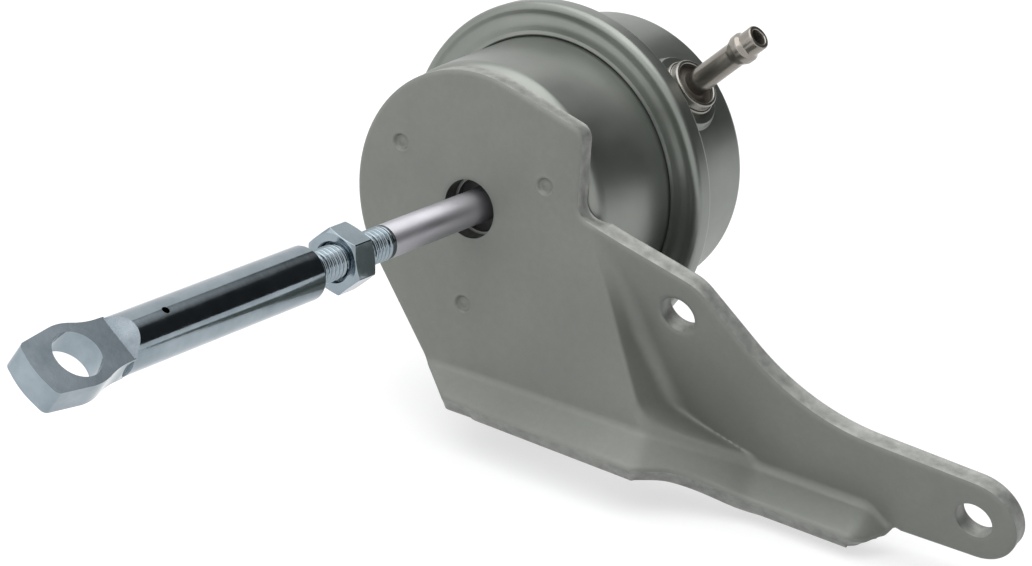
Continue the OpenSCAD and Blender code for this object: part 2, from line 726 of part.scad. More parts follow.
// The flattened eye, seen on its flat side, as [x, y] points: it swells round the hole.
module eye_outline() {
    neck = -eye_reach + 1.9 * barrel_r;
    nose = -eye_reach - eye_nose;
    neck_w = 0.9 * barrel_r;
    polygon(rounded([
        [neck, neck_w, 0], [-eye_reach + 5, 1.04 * neck_w, 14], [-eye_reach + 0.6, eye_half_w, 9],
        [nose + 0.9, eye_half_w - 1.15, 1.2], [nose, 0, 13],
        [nose + 0.9, 1.15 - eye_half_w, 1.2], [-eye_reach + 0.6, -eye_half_w, 9],
        [-eye_reach + 5, -1.04 * neck_w, 14], [neck, -neck_w, 0]
    ], 6));
}

// The barrel, drilled for the thread, milled down to a flat eye on two sides.
module rod_end() {
    chamfer = 0.5;
    flat = eye_t / 2;
    ramp_end = -eye_reach + 1.85 * barrel_r;
    ramp_start = ramp_end + barrel_r - flat;
    bore_end = sight_back - 3 - eye_reach;
    sight_x = sight_back - eye_reach;
    color("#c9d0d8") placed() difference() {
        rotate([90 - eye_angle, 0, 0]) {
            intersection() {
                turned([[0, ramp_end], [barrel_r, ramp_end], [barrel_r, -barrel_near - chamfer],
                        [barrel_r - chamfer, -barrel_near], [0, -barrel_near]]);
                rotate([90, 0, 0]) translate([0, 0, -2 * barrel_r]) linear_extrude(4 * barrel_r) polygon([
                    [ramp_end, -flat], [ramp_start, -barrel_r], [-barrel_near, -barrel_r],
                    [-barrel_near, barrel_r], [ramp_start, barrel_r], [ramp_end, flat]]);
            }
            translate([0, 0, -flat]) linear_extrude(eye_t) eye_outline();
        }
        ring(bore_end, -barrel_near + over, rod_r + running);
        radial(-eye_reach, eye_angle) translate([0, 0, -barrel_r])
            cylinder(r = eye_hole_r, h = 2 * barrel_r, $fn = round_fn);
        radial(sight_x, sight_angle) cylinder(r = sight_r, h = 2 * barrel_r, $fn = 24);
    }
}

bracket();
front_shell();
rear_shell();
hose_nipple();
nipple_collar();
braze_ring();
diaphragm();
piston_cup();
retainer_plate();
shoulder_washer();
rivet_washer();
rod();
return_spring();
spring_seat();
guide_cage();
guide_ring();
lock_nut();
rod_end();
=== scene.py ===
from math import acos, atan2, ceil, cos, pi, radians, sin, sqrt, tan

import bmesh
import bpy
import numpy as np
from mathutils import Matrix, Vector
from mathutils.geometry import delaunay_2d_cdt


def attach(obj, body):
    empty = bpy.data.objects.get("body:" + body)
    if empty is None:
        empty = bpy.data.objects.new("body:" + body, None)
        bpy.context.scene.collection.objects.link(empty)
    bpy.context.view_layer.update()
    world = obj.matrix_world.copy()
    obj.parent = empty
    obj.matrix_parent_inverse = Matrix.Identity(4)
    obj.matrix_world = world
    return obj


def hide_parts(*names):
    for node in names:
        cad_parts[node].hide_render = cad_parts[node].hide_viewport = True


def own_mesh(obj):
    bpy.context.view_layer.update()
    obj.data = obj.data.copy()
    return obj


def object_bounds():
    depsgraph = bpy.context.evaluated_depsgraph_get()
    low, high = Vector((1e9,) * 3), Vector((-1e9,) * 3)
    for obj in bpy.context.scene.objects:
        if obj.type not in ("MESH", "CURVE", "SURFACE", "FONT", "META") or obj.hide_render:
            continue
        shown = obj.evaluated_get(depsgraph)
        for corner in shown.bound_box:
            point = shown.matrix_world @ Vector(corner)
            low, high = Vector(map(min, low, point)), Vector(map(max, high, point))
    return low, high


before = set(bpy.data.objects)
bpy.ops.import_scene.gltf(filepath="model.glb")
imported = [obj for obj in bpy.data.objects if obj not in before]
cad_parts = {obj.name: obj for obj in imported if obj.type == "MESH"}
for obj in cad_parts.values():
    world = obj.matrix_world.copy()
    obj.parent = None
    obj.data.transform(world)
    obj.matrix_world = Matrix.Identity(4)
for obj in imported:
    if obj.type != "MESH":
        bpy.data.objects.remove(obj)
cad_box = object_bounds()

# Sizes in millimetres. Those of the main shapes are the same as in the part's source.
# The rod's axis is X, and x = 0 is the front face of the bracket's plate.
MM = 0.001
SHEET = 3.3
PLATE_R = 24.4
ROD_HOLE_R = 5.25
PLATE_EDGE = 22.2
PLATE_CORNER_R = 2.5
NOTCH_R = 3.0
TAPER_DROP = 12.2
FOOT_LEFT = 7.4
FOLD_DROP = 30.0
WELD_CIRCLE_R = 17.5
WELD_ANGLES = (151, 27.5, -90)
WELD_R = 1.6
ARM_TILT = radians(17.5)
ARM_MEET = 2.0
NEAR = (41.6, 11.4)
FAR = (96.1, 34.6)
BOLT_HOLE_R = 3.35
LUG_R = 7.7
SHOULDER_SLOPE = radians(17.2)
WAIST_SLOPE = radians(47)
TAIL_SLOPE = radians(4)
WAIST_R = 34
ARM_FOLD_V = 37.9
ARM_FOLD_FALL = 0.025
LIP_ANGLE = radians(59)
LIP_DEPTH = 6.6
LIP_WIDENING = 0.026
ARM_LIP_DEPTH = 7.3
FOLD_R = 1.5
LIP_RUN = 76
FOLD_TURN_RUN = 7.0
FOLD_TURN_DROP = 5.2
LIP_NARROWING = 0.55
LIP_TURN = 82.2
JOGGLE_Y = 25.6
JOGGLE_LEAN = 0.43
JOGGLE_OUTER_R = 4.0
CREASE_R = 1.0
INNER_R_TOP = 3.0
INNER_R_GROWTH = 0.04
JOGGLE_ANGLE = radians(78)
JOGGLE_LIP_ANGLE = radians(37)
EASE_FROM = 0.84
SOFT_FROM = 0.84
SOFT_TO = 0.96
DIP = 1.5
DIP_FROM = 40
DIP_RISE = 8
DIP_FALL = 16

SHELL_WALL = 1.0
FRONT_R = 24.9
FRONT_BACK_R = 25.7
FRONT_CORNER_R = 3.0
FRONT_LEN = 21.5
RIM_R = 31.9
REAR_R = 26.0
REAR_LEN = 19.8
REAR_CORNER_R = 1.6
RUBBER_EDGE = 1.2
RUBBER = 0.8
GUIDE_R = 5.6

NIPPLE_ANGLE = 43.3
NIPPLE_BACK = 8.9
NIPPLE_R = 2.25
NIPPLE_BORE_R = 1.4
NIPPLE_LEN = 19.0
BEAD_R = 2.8
BEAD_FROM_TIP = 3.9
PAD_R = 7.0
COLLAR_FOOT_R = 5.25
COLLAR_NECK_R = 4.75
COLLAR_H = 2.7

ROD_R = 3.0
PITCH = 1.0
THREAD_START = -23.5
NUT_AF = 10
NUT_H = 5
NUT_FRONT = 36.8
NUT_TURN = -12.1
BARREL_R = 4.64
BARREL_NEAR = 43.6
EYE_REACH = 96.6
EYE_HOLE_R = 4.1
EYE_T = 4.8
EYE_HALF_W = 5.9
EYE_NOSE = 8.9
EYE_ANGLE = 55
SIGHT_R = 0.65
SIGHT_BACK = 17.85
ROD_REACH = EYE_REACH - SIGHT_BACK - 4.75
SIGHT_ANGLE = 62

PISTON_R = 21.0
PISTON_WALL = 1.0
WIRE_R = 1.1
SPRING_R = 14
SPRING_TURNS = 6

# Small gaps: between pieces that touch, and round the rod in the nut and in the rod end
SEAM = 0.05
RUNNING_GAP = 0.06
# Points closer than this are one point, in metres: in turned shapes, and after a boolean
JOIN = 1e-7
CUT_JOIN = 2e-6
# Edges over this angle stay hard on turned shapes, in degrees
TURNED_SHARP = 40

# Places along the rod's axis, from front to back
CAN_FRONT = SHEET
FLANGE_FRONT = CAN_FRONT + FRONT_LEN
FLANGE_BACK = FLANGE_FRONT + SHELL_WALL
CLAMP_BACK = FLANGE_BACK + RUBBER_EDGE
RIM_FRONT = FLANGE_FRONT - SHELL_WALL
RIM_BACK = CLAMP_BACK + SHELL_WALL
CAN_BACK = RIM_BACK + REAR_LEN
NIPPLE_X = RIM_BACK + NIPPLE_BACK
PAD_TOP = REAR_R + 0.35
NIPPLE_TIP = REAR_R + NIPPLE_LEN
HEAD_BACK = CAN_BACK - SHELL_WALL - 0.5
HEAD_FRONT = HEAD_BACK - 1.0
PISTON_BACK = HEAD_FRONT - 2.6
SHOULDER_X = PISTON_BACK - 1.8
INNER_FRONT = CAN_FRONT + SHELL_WALL
SPRING_FRONT = INNER_FRONT + 1.0

ALONG = np.array([1.0, 0.0, 0.0])
ARM_DOWN = np.array([sin(ARM_TILT), 0.0, -cos(ARM_TILT)])
ARM_BACK = np.array([cos(ARM_TILT), 0.0, sin(ARM_TILT)])
# The part's own origin: the middle of the near bolt hole
ORIGIN = np.array([0.0, -NEAR[0], ARM_MEET]) + NEAR[1] * ARM_DOWN + ARM_BACK * SHEET / 2


def place(points):
    """Points of the rod's frame, in millimetres, to the part's own frame, in metres."""
    return (np.asarray(points, float) - ORIGIN) * MM


def new_mesh(name, points, faces, materials, indices=None):
    """A smooth mesh piece from points in the rod's frame."""
    mesh = bpy.data.meshes.new(name)
    mesh.from_pydata([tuple(p) for p in place(points)], [], [tuple(int(i) for i in f) for f in faces])
    for material in materials:
        mesh.materials.append(material)
    mesh.shade_smooth()
    if indices is not None:
        mesh.polygons.foreach_set("material_index", indices)
    mesh.validate()
    piece = bpy.data.objects.new(name, mesh)
    bpy.context.scene.collection.objects.link(piece)
    return piece


def finish_piece(piece, body, slot, *nodes):
    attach(piece, body)
    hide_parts(*nodes)
    return piece


def rounded(corners, closed=True, step=0.25):
    """Rounds each corner of an outline given as (x, y, radius)."""
    count = len(corners)
    out = []
    for i, (x, y, r) in enumerate(corners):
        p = np.array([x, y], float)
        if r <= 0 or (not closed and i in (0, count - 1)):
            out.append(p)
            continue
        a = np.array(corners[(i - 1) % count][:2], float) - p
        b = np.array(corners[(i + 1) % count][:2], float) - p
        a, b = a / np.linalg.norm(a), b / np.linalg.norm(b)
        half = acos(max(-1.0, min(1.0, float(a @ b)))) / 2
        middle = p + (a + b) / np.linalg.norm(a + b) * r / sin(half)
        start = p + a * r / tan(half) - middle
        end = p + b * r / tan(half) - middle
        turn = pi - 2 * half
        side = 1 if start[0] * end[1] - start[1] * end[0] > 0 else -1
        from_angle = atan2(start[1], start[0])
        steps = max(3, int(ceil(r * turn / step)))
        for k in range(steps + 1):
            w = from_angle + side * turn * k / steps
            out.append(middle + r * np.array([cos(w), sin(w)]))
    return np.array(out)


def around(count):
    return np.linspace(0, 2 * pi, count, endpoint=False)


def polar(centre, r, angles):
    return np.stack([centre[0] + r * np.cos(angles), centre[1] + r * np.sin(angles)], 1)


def circle(centre, r, count):
    return polar(centre, r, around(count))


def grid_faces(rows, columns, close_rows=False, close_columns=True):
    """Faces of a grid of points, row after row, that may close on itself either way."""
    j, i = np.meshgrid(np.arange(rows if close_rows else rows - 1),
                       np.arange(columns if close_columns else columns - 1), indexing="ij")
    nj, ni = (j + 1) % rows, (i + 1) % columns
    corners = ((j, i), (j, ni), (nj, ni), (nj, i))
    return np.stack([row * columns + column for row, column in corners], -1).reshape(-1, 4)


def turned(profile, segments, move=None):
    """Points and faces of a closed profile of (radius, x) turned round the rod's axis, and then moved."""
    r, x = np.hsplit(np.asarray(profile, float), 2)
    angles = around(segments)
    points = np.stack([x + 0 * angles, r * np.cos(angles), r * np.sin(angles)], -1).reshape(-1, 3)
    return (move(points) if move else points), grid_faces(len(profile), segments, close_rows=True)


def radial(x, angle):
    """Moves a piece turned round X to stand on the rod's axis at x, at an angle up from the arm's side."""
    a = radians(angle)
    out = np.array([0.0, -cos(a), sin(a)])
    side = np.array([0.0, sin(a), cos(a)])

    def move(points):
        return x * ALONG + points[:, 0:1] * out + points[:, 1:2] * ALONG + points[:, 2:3] * side

    return move


def settle(piece, sharp=None, join=JOIN, dissolve=False):
    """Joins points that meet, turns all faces outward and keeps edges over the sharp angle hard."""
    work = bmesh.new()
    work.from_mesh(piece.data)
    if join:
        bmesh.ops.remove_doubles(work, verts=work.verts, dist=join)
    if dissolve:
        bmesh.ops.dissolve_degenerate(work, edges=work.edges, dist=join)
    bmesh.ops.recalc_face_normals(work, faces=work.faces)
    work.to_mesh(piece.data)
    work.free()
    if sharp:
        piece.data.set_sharp_from_angle(angle=radians(sharp))
    return piece


def turned_piece(name, profile, segments, material, move=None):
    return settle(new_mesh(name, *turned(profile, segments, move), [material]), TURNED_SHARP)


# Materials. A noise mostly stays between the two values below.

NOISE_LOW = 0.3
NOISE_HIGH = 0.7


def linear(colour):
    """A colour written as 0 to 255 values, made linear."""
    return tuple(((c / 255 + 0.055) / 1.055) ** 2.4 for c in colour)


class Tree:
    """A node tree, with the calls that the materials and the world use."""

    def __init__(self, tree):
        self.tree = tree
        tree.nodes.clear()

    def put(self, socket, value):
        """Links a socket to another node's, or sets it to a value."""
        if isinstance(value, bpy.types.NodeSocket):
            self.tree.links.new(value, socket)
        else:
            socket.default_value = value

    def node(self, kind, *values, **named):
        """A new node, with its sockets filled in order or by name."""
        node = self.tree.nodes.new("ShaderNode" + kind)
        for socket, value in zip(node.inputs, values):
            self.put(socket, value)
        for key, value in named.items():
            self.put(node.inputs[key], value)
        return node

    def noise(self, scale, detail=3.0, roughness=0.55, stretch=(1, 1, 1)):
        place = self.node("TexCoord").outputs["Object"]
        place = self.node("Mapping", Vector=place, Scale=stretch).outputs[0]
        noise = self.node("TexNoise", Vector=place, Scale=scale, Detail=detail, Roughness=roughness)
        return noise.outputs["Fac"]

    def ramp(self, value, stops):
        node = self.node("ValToRGB", Fac=value)
        elements = node.color_ramp.elements
        while len(elements) < len(stops):
            elements.new(0.5)
        for element, (at, colour) in zip(elements, stops):
            element.position = at
            element.color = (*colour, 1)
        return node.outputs["Color"]

    def span(self, value, low, high, to_low, to_high):
        return self.node("MapRange", value, low, high, to_low, to_high).outputs["Result"]

    def shade(self, noise, low, high):
        """A colour that wanders between two with a noise."""
        return self.ramp(noise, [(NOISE_LOW, linear(low)), (NOISE_HIGH, linear(high))])

    def spread(self, noise, low, high):
        """A value that wanders between two with a noise."""
        return self.span(noise, NOISE_LOW, NOISE_HIGH, low, high)

    def bump(self, height, distance, strength):
        return self.node("Bump", Height=height, Distance=distance, Strength=strength).outputs["Normal"]

    def blend(self, share, a, b):
        """Shader a where the share is 0, and b where it is 1."""
        return self.node("MixShader", share, a, b).outputs[0]

    def seen_directly(self):
        """1 for camera, glossy and transmission rays, and 0 for the light that falls on things."""
        rays = self.node("LightPath").outputs
        share = rays["Is Camera Ray"]
        for kind in ("Is Glossy Ray", "Is Transmission Ray"):
            most = self.node("Math", share, rays[kind])
            most.operation = "MAXIMUM"
            share = most.outputs[0]
        return share


class Look(Tree):
    """A piece's material."""

    def __init__(self, name, metallic, roughness):
        self.material = bpy.data.materials.new(name)
        self.material.use_nodes = True
        super().__init__(self.material.node_tree)
        self.shader = self.node("BsdfPrincipled", Metallic=metallic, Roughness=roughness)

    def finish(self, colour, roughness=None, normal=None, surface=None):
        """Feeds the shader and gives the material, with the shader or another surface as its result."""
        for key, value in (("Base Color", colour), ("Roughness", roughness), ("Normal", normal)):
            if value is not None:
                self.put(self.shader.inputs[key], value)
        self.node("OutputMaterial", Surface=surface or self.shader.outputs[0])
        return self.material


def sheet_steel():
    m = Look("bracket_steel", 0.2, 0.5)
    fine = m.noise(900, 4, 0.6)
    base = m.shade(m.noise(60), (122, 125, 119), (130, 133, 126))
    specks = m.node("Mix")
    specks.data_type = "RGBA"
    share, first, second = (specks.inputs[i] for i in (0, 6, 7))
    m.put(share, m.spread(fine, 0, 0.25))
    m.put(first, base)
    m.put(second, (*linear((110, 113, 108)), 1))
    return m.finish(specks.outputs[2], m.spread(m.noise(250), 0.44, 0.52), m.bump(fine, 0.00003, 0.5))


def cut_steel(name, low, high):
    m = Look(name, 0.3, 0.45)
    grain = m.noise(500, 4, 0.6)
    return m.finish(m.shade(grain, low, high), m.spread(m.noise(300, 2), 0.4, 0.54),
                    m.bump(grain, 0.00005, 0.5))


def drawn_steel(name, low, high, rough_low, rough_high):
    """Drawn sheet: fine lines round the rod's axis and soft cloudy stains."""
    m = Look(name, 0.85, 0.3)
    lines = m.noise(500, 3, 0.6, (8, 1, 1))
    rough = m.spread(m.noise(120, 4), rough_low, rough_high)
    return m.finish(m.shade(m.noise(45, 4, 0.6), low, high), rough, m.bump(lines, 0.000008, 0.4))


def zinc(name, low, high, rough):
    m = Look(name, 1.0, rough)
    roughness = m.spread(m.noise(400), rough * 0.7, rough * 1.5)
    return m.finish(m.shade(m.noise(180, 4, 0.65), low, high), roughness, m.bump(m.noise(700), 0.00002, 0.4))


def dull(name, low, high, rough_low, rough_high, scale, depth):
    m = Look(name, 0.0, 0.7)
    grain = m.noise(scale, 4, 0.6)
    return m.finish(m.shade(m.noise(scale / 6), low, high), m.spread(grain, rough_low, rough_high),
                    m.bump(grain, depth, 0.5))


BRACKET = sheet_steel()
BRACKET_CUT = cut_steel("bracket_cut", (126, 128, 124), (158, 159, 154))
# The rod hole's wall: the cut steel made darker, as painted shade for the shadow inside the hole in front of
# the can
BRACKET_BORE_PAINTED_SHADE = cut_steel("bracket_bore_painted_shade", (62, 63, 60), (84, 85, 81))
SHELL = drawn_steel("shell_steel", (128, 132, 127), (142, 145, 140), 0.32, 0.4)
TUBE = drawn_steel("nipple_steel", (142, 137, 130), (166, 162, 155), 0.14, 0.24)
COLLAR = drawn_steel("collar_steel", (140, 138, 132), (164, 162, 156), 0.14, 0.26)
BAR = drawn_steel("rod_steel", (164, 163, 168), (178, 177, 182), 0.34, 0.46)
ZINC = zinc("zinc", (132, 144, 151), (152, 163, 170), 0.1)
MILLED = zinc("zinc_milled", (120, 130, 138), (158, 167, 174), 0.22)
INNER = drawn_steel("inner_steel", (168, 170, 170), (190, 191, 191), 0.3, 0.42)
SPRING = drawn_steel("spring_steel", (120, 122, 124), (146, 148, 150), 0.28, 0.4)
RUBBER_LOOK = dull("rubber", (30, 30, 31), (42, 42, 43), 0.55, 0.75, 900, 0.00004)
GUIDE = dull("guide", (22, 22, 24), (34, 34, 36), 0.4, 0.55, 1200, 0.00002)
BRAZE = dull("braze", (46, 41, 35), (74, 66, 55), 0.4, 0.6, 900, 0.00006)


# Bracket: the sheet's front face is one surface in (s, t). s runs across the sheet, and t down it.

EDGE_T = 42.0
LEAST_STEP = 0.8
LEAST_WEB = 0.3
PLATE_FOLD_V = ARM_MEET + FOLD_DROP
JOGGLE_FOOT = JOGGLE_Y + JOGGLE_LEAN * PLATE_FOLD_V


def section(g, tilt, fold_v, bend, lip_depth):
    """Point (x, z) at g down a section: 0 to 1 is the flat, 1 to 2 the fold and 2 to 3 the lip."""
    reach = FOLD_R * np.tan(bend / 2)
    turn = np.clip(g - 1, 0, 1) * bend
    lip = np.maximum(g - 2, 0) * (lip_depth - reach)
    along = np.minimum(g, 1) * (fold_v - reach) + FOLD_R * np.sin(turn) + lip * np.cos(bend)
    out = FOLD_R * (1 - np.cos(turn)) + lip * np.sin(bend)
    return (along * sin(tilt) - out * cos(tilt),
            ARM_MEET - along * cos(tilt) - out * sin(tilt))


def ease(t):
    t = np.clip(t, 0, 1)
    return t * t * (3 - 2 * t)


def turn_down(u):
    """Past the lip's run the fold turns down to the arm's edge, and the lip narrows."""
    return FOLD_TURN_DROP * ease((u - LIP_RUN) / FOLD_TURN_RUN)


def fold_place():
    """The values of t where the fold starts and ends, so that t keeps an even scale down the arm."""
    bend = ARM_TILT + LIP_ANGLE
    reach = FOLD_R * tan(bend / 2)
    flat, arc, lip = ARM_FOLD_V - reach, FOLD_R * bend, ARM_LIP_DEPTH - reach
    whole = flat + arc + lip
    return EDGE_T * flat / whole, EDGE_T * (flat + arc) / whole


def dip(s):
    """The lip is a little shallower just past the step."""
    return DIP * ease((s - DIP_FROM) / DIP_RISE) * (1 - ease((s - DIP_FROM - DIP_RISE) / DIP_FALL))


def step_shape(s, t):
    """The step between plate and arm at (s, t): its place down the section and its sizes."""
    fold, lip = fold_place()
    g = np.where(t < fold, t / fold, np.where(t < lip, 1 + (t - fold) / (lip - fold),
                                              2 + (t - lip) / (EDGE_T - lip)))
    plate_lip = LIP_DEPTH + LIP_WIDENING * np.minimum(s, JOGGLE_FOOT) - dip(s)
    px, pz = section(g, 0.0, PLATE_FOLD_V, LIP_ANGLE, plate_lip)
    qx, qz = section(g, ARM_TILT, ARM_FOLD_V, ARM_TILT + LIP_ANGLE, ARM_LIP_DEPTH)
    depth = np.maximum(LEAST_STEP, np.hypot(qx - px, qz - pz))
    down = np.hypot(px, pz - ARM_MEET) * (g > 0)
    inner_r = INNER_R_TOP + INNER_R_GROWTH * down
    bend_r = JOGGLE_OUTER_R + inner_r
    easing = ease((g - EASE_FROM) / (1 - EASE_FROM))
    steepest = JOGGLE_ANGLE + (JOGGLE_LIP_ANGLE - JOGGLE_ANGLE) * easing
    angle = np.minimum(steepest, np.arccos(np.maximum(0, 1 - depth / bend_r)))
    web = np.maximum(LEAST_WEB, (depth - bend_r * (1 - np.cos(angle))) / np.sin(angle))
    start = JOGGLE_Y + JOGGLE_LEAN * down - JOGGLE_OUTER_R * np.tan(angle / 2)
    return g, px, pz, depth, inner_r, angle, web, start


def crease_sizes(g, angle, soft=False):
    """The outer bend on the front face, crisp above and soft at the fold and on the lip: its radius, how far
    before a soft bend it would start, and how much longer its way round is."""
    share = 1 if soft else ease((g - SOFT_FROM) / (SOFT_TO - SOFT_FROM))
    crease = CREASE_R + (JOGGLE_OUTER_R - CREASE_R) * share
    lead = (JOGGLE_OUTER_R - crease) * np.tan(angle / 2)
    return crease, lead, 2 * lead - (JOGGLE_OUTER_R - crease) * angle


def surface(s, t, soft=False):
    """The sheet's front face at (s, t), in the rod's frame. Its outer bend may be soft all along."""
    g, px, pz, depth, inner_r, angle, web, start = step_shape(s, t)
    crease, lead, longer = crease_sizes(g, angle, soft)
    bend_r = JOGGLE_OUTER_R + inner_r
    width = bend_r * np.sin(angle) + web * np.cos(angle)
    whole = bend_r * angle + web
    across = s - start
    on = across * (1 + longer / whole) - lead
    first = crease * angle
    second = first + web + lead
    a1 = np.clip(on, 0, first) / crease
    a2 = np.clip(second + inner_r * angle - on, 0, inner_r * angle) / inner_r
    w = np.clip((on - first) / (second - first), 0, 1)
    y1, h1 = crease * np.sin(a1), crease * (1 - np.cos(a1)) / depth
    y2, h2 = width - lead - inner_r * np.sin(a2), 1 - inner_r * (1 - np.cos(a2)) / depth
    in_step = np.where(on > second, y2, np.where(on < first, y1, y1 + (y2 - y1) * w))
    share = np.where(on > second, h2, np.where(on < first, h1, h1 + (h2 - h1) * w))
    past = across > whole
    u = np.where(across < 0, s, np.where(past, start + width + across - whole,
                                         start + lead + np.minimum(on, 0) + in_step))
    share = np.clip(np.where(across < 0, 0.0, np.where(past, 1.0, share)), 0, 1)
    bx, bz = section(g, ARM_TILT, ARM_FOLD_V + ARM_FOLD_FALL * (u - NEAR[0]) + turn_down(u),
                     ARM_TILT + LIP_ANGLE, ARM_LIP_DEPTH - dip(s) - LIP_NARROWING * turn_down(u))
    return np.stack([px + (bx - px) * share, -u, pz + (bz - pz) * share], -1)


def crease_place(t, along):
    """The value of s at each t, at a distance past the start of the step's outer bend."""
    s = JOGGLE_Y + JOGGLE_LEAN * t
    for _ in range(6):
        g, px, pz, depth, inner_r, angle, web, start = step_shape(s, t)
        whole = (JOGGLE_OUTER_R + inner_r) * angle + web
        _, lead, longer = crease_sizes(g, angle)
        s = start + (along + lead) / (1 + longer / whole)
    return s


def slopes(s, t, soft=False, step=0.02):
    return ((surface(s + step, t, soft) - surface(s - step, t, soft)) / (2 * step),
            (surface(s, t + step, soft) - surface(s, t - step, soft)) / (2 * step))


def sheet_normal(s, t, soft=False):
    """Unit direction from the front face to the back face."""
    ds, dt = slopes(s, t, soft)
    n = np.cross(ds, dt)
    return n / np.linalg.norm(n, axis=-1, keepdims=True)


FIND_STEPS = 40
FIND_DAMPING = 0.8
FIND_LEAP = 3
STEP_BORDER = 30
HIGHEST_T = -6


def find(targets, on_arm):
    """The (s, t) of points seen along the plate's or the arm's normal, by damped Newton steps."""
    targets = np.asarray(targets, float)
    if on_arm:
        want = np.stack([-targets[:, 0], targets[:, 1]], 1)
        read = np.array([[0, 1, 0], ARM_DOWN])
        base = ARM_MEET * ARM_DOWN[2]
    else:
        want = targets
        read = np.array([[0, 1, 0], [0, 0, 1.0]])
        base = 0.0
    s = -want[:, 0] + np.where(-want[:, 0] > STEP_BORDER, FIND_LEAP, 0.0)
    t = np.clip(want[:, 1] if on_arm else ARM_MEET - want[:, 1], HIGHEST_T, EDGE_T - 0.2)
    for _ in range(FIND_STEPS):
        p = surface(s, t) @ read.T
        p[:, 1] -= base
        ds, dt = slopes(s, t)
        ds, dt = ds @ read.T, dt @ read.T
        det = ds[:, 0] * dt[:, 1] - ds[:, 1] * dt[:, 0]
        e = want - p
        det = np.where(np.abs(det) < 1e-6, 1e-6, det)
        across = (e[:, 0] * dt[:, 1] - e[:, 1] * dt[:, 0]) / det
        down = (ds[:, 0] * e[:, 1] - ds[:, 1] * e[:, 0]) / det
        s = s + FIND_DAMPING * np.clip(across, -FIND_LEAP, FIND_LEAP)
        t = t + FIND_DAMPING * np.clip(down, -FIND_LEAP, FIND_LEAP)
    return np.stack([s, t], 1)


# How much flatter than the arm's shoulder the plate's top runs, and small shapes at the lip's ends
TOP_SLOPE_LESS = radians(2)
LIP_START = -0.6
LIP_START_R = 1.6
FOOT_R = 5
NOTCH_END = 32
LIP_NICK = 1.0
LIP_END = 3.4
LIP_END_R = 2.4
LIP_FOOT = 6.6
LIP_TRIM = 0.05


def tangent_point(centre, slope):
    return (centre[0] + LUG_R * sin(slope), centre[1] - LUG_R * cos(slope))


def arc_points(centre, r, a0, a1, step=0.3):
    """Points of an arc, with its angles in radians from the first axis to the second."""
    return polar(centre, r, np.linspace(a0, a1, max(2, int(abs(a1 - a0) * r / step)) + 1))


def dense(path, step=0.5):
    """An open path with more points along its long straights."""
    out = [path[:1]]
    for a, b in zip(path[:-1], path[1:]):
        count = max(1, int(np.hypot(*(b - a)) / step))
        out.append(a + (b - a) * np.arange(1, count + 1)[:, None] / count)
    return np.concatenate(out)


def bracket_outline():
    """The sheet's closed edge in (s, t)."""
    shoulder = tangent_point(NEAR, SHOULDER_SLOPE)
    waist = tangent_point(NEAR, WAIST_SLOPE)
    tail = tangent_point(FAR, TAIL_SLOPE)
    slope = SHOULDER_SLOPE - TOP_SLOPE_LESS
    left = sqrt(PLATE_R ** 2 - TAPER_DROP ** 2)
    lip_low = -FOLD_DROP - LIP_DEPTH * cos(LIP_ANGLE)

    def shoulder_z(u):
        v = shoulder[1] + (u - shoulder[0]) * tan(SHOULDER_SLOPE)
        return ARM_MEET - v * cos(ARM_TILT)

    top_y = PLATE_R * sin(slope)
    corner_z = PLATE_R * cos(slope) - (PLATE_EDGE - top_y) * tan(slope)
    foot = rounded([(-6, lip_low + LIP_TRIM, 0), (LIP_START, lip_low + LIP_TRIM, LIP_START_R),
                    (FOOT_LEFT, -FOLD_DROP, FOOT_R), (left, -TAPER_DROP, 0)], closed=False)
    top = arc_points((0, 0), PLATE_R, atan2(-TAPER_DROP, left), pi / 2 + slope)
    notch = rounded([(-top_y, PLATE_R * cos(slope), 0), (-PLATE_EDGE, corner_z, PLATE_CORNER_R),
                     (-PLATE_EDGE, shoulder_z(PLATE_EDGE), NOTCH_R), (-NOTCH_END, shoulder_z(NOTCH_END), 0)],
                    closed=False)
    near_lug = arc_points(NEAR, LUG_R, SHOULDER_SLOPE - pi / 2, WAIST_SLOPE - pi / 2)
    cross_u = ((tail[1] - waist[1] + waist[0] * tan(WAIST_SLOPE) - tail[0] * tan(TAIL_SLOPE))
               / (tan(WAIST_SLOPE) - tan(TAIL_SLOPE)))
    cross_v = waist[1] + (cross_u - waist[0]) * tan(WAIST_SLOPE)
    hollow = rounded([(*waist, 0), (cross_u, cross_v, WAIST_R), (*tail, 0)], closed=False)
    far_lug = arc_points(FAR, LUG_R, TAIL_SLOPE - pi / 2, pi / 2)
    lug_foot = FAR[1] + LUG_R
    foot_line = rounded([(FAR[0], lug_foot, 0), (LIP_TURN, lug_foot, 0)], closed=False)
    arm = find(dense(np.concatenate([near_lug, hollow, far_lug, foot_line])), True)
    s, t = arm[-1]
    lip_end = rounded([(s, t, 0), (s - LIP_NICK, t + LIP_TRIM, LIP_NICK),
                       (s - LIP_END, EDGE_T, LIP_END_R), (s - LIP_FOOT, EDGE_T, 0)], closed=False)[1:]
    arm = np.concatenate([arm, lip_end])
    plate = find(np.concatenate([foot, top, notch]), False)
    plate[:, 1] = np.minimum(plate[:, 1], EDGE_T)
    edge_s = np.arange(arm[-1, 0] - 0.5, plate[0, 0] + 0.5, -0.5)
    edge = np.stack([edge_s, np.full(len(edge_s), EDGE_T)], 1)
    return np.concatenate([plate, arm, edge])


def resampled(path, spacing):
    """A closed path with even spacing."""
    loop = np.concatenate([path, path[:1]])
    length = np.concatenate([[0], np.cumsum(np.linalg.norm(np.diff(loop, axis=0), axis=1))])
    keep = np.concatenate([[True], np.diff(length) > 1e-6])
    loop, length = loop[keep], length[keep]
    at = np.linspace(0, length[-1], int(length[-1] / spacing), endpoint=False)
    return np.stack([np.interp(at, length, loop[:, 0]), np.interp(at, length, loop[:, 1])], 1)


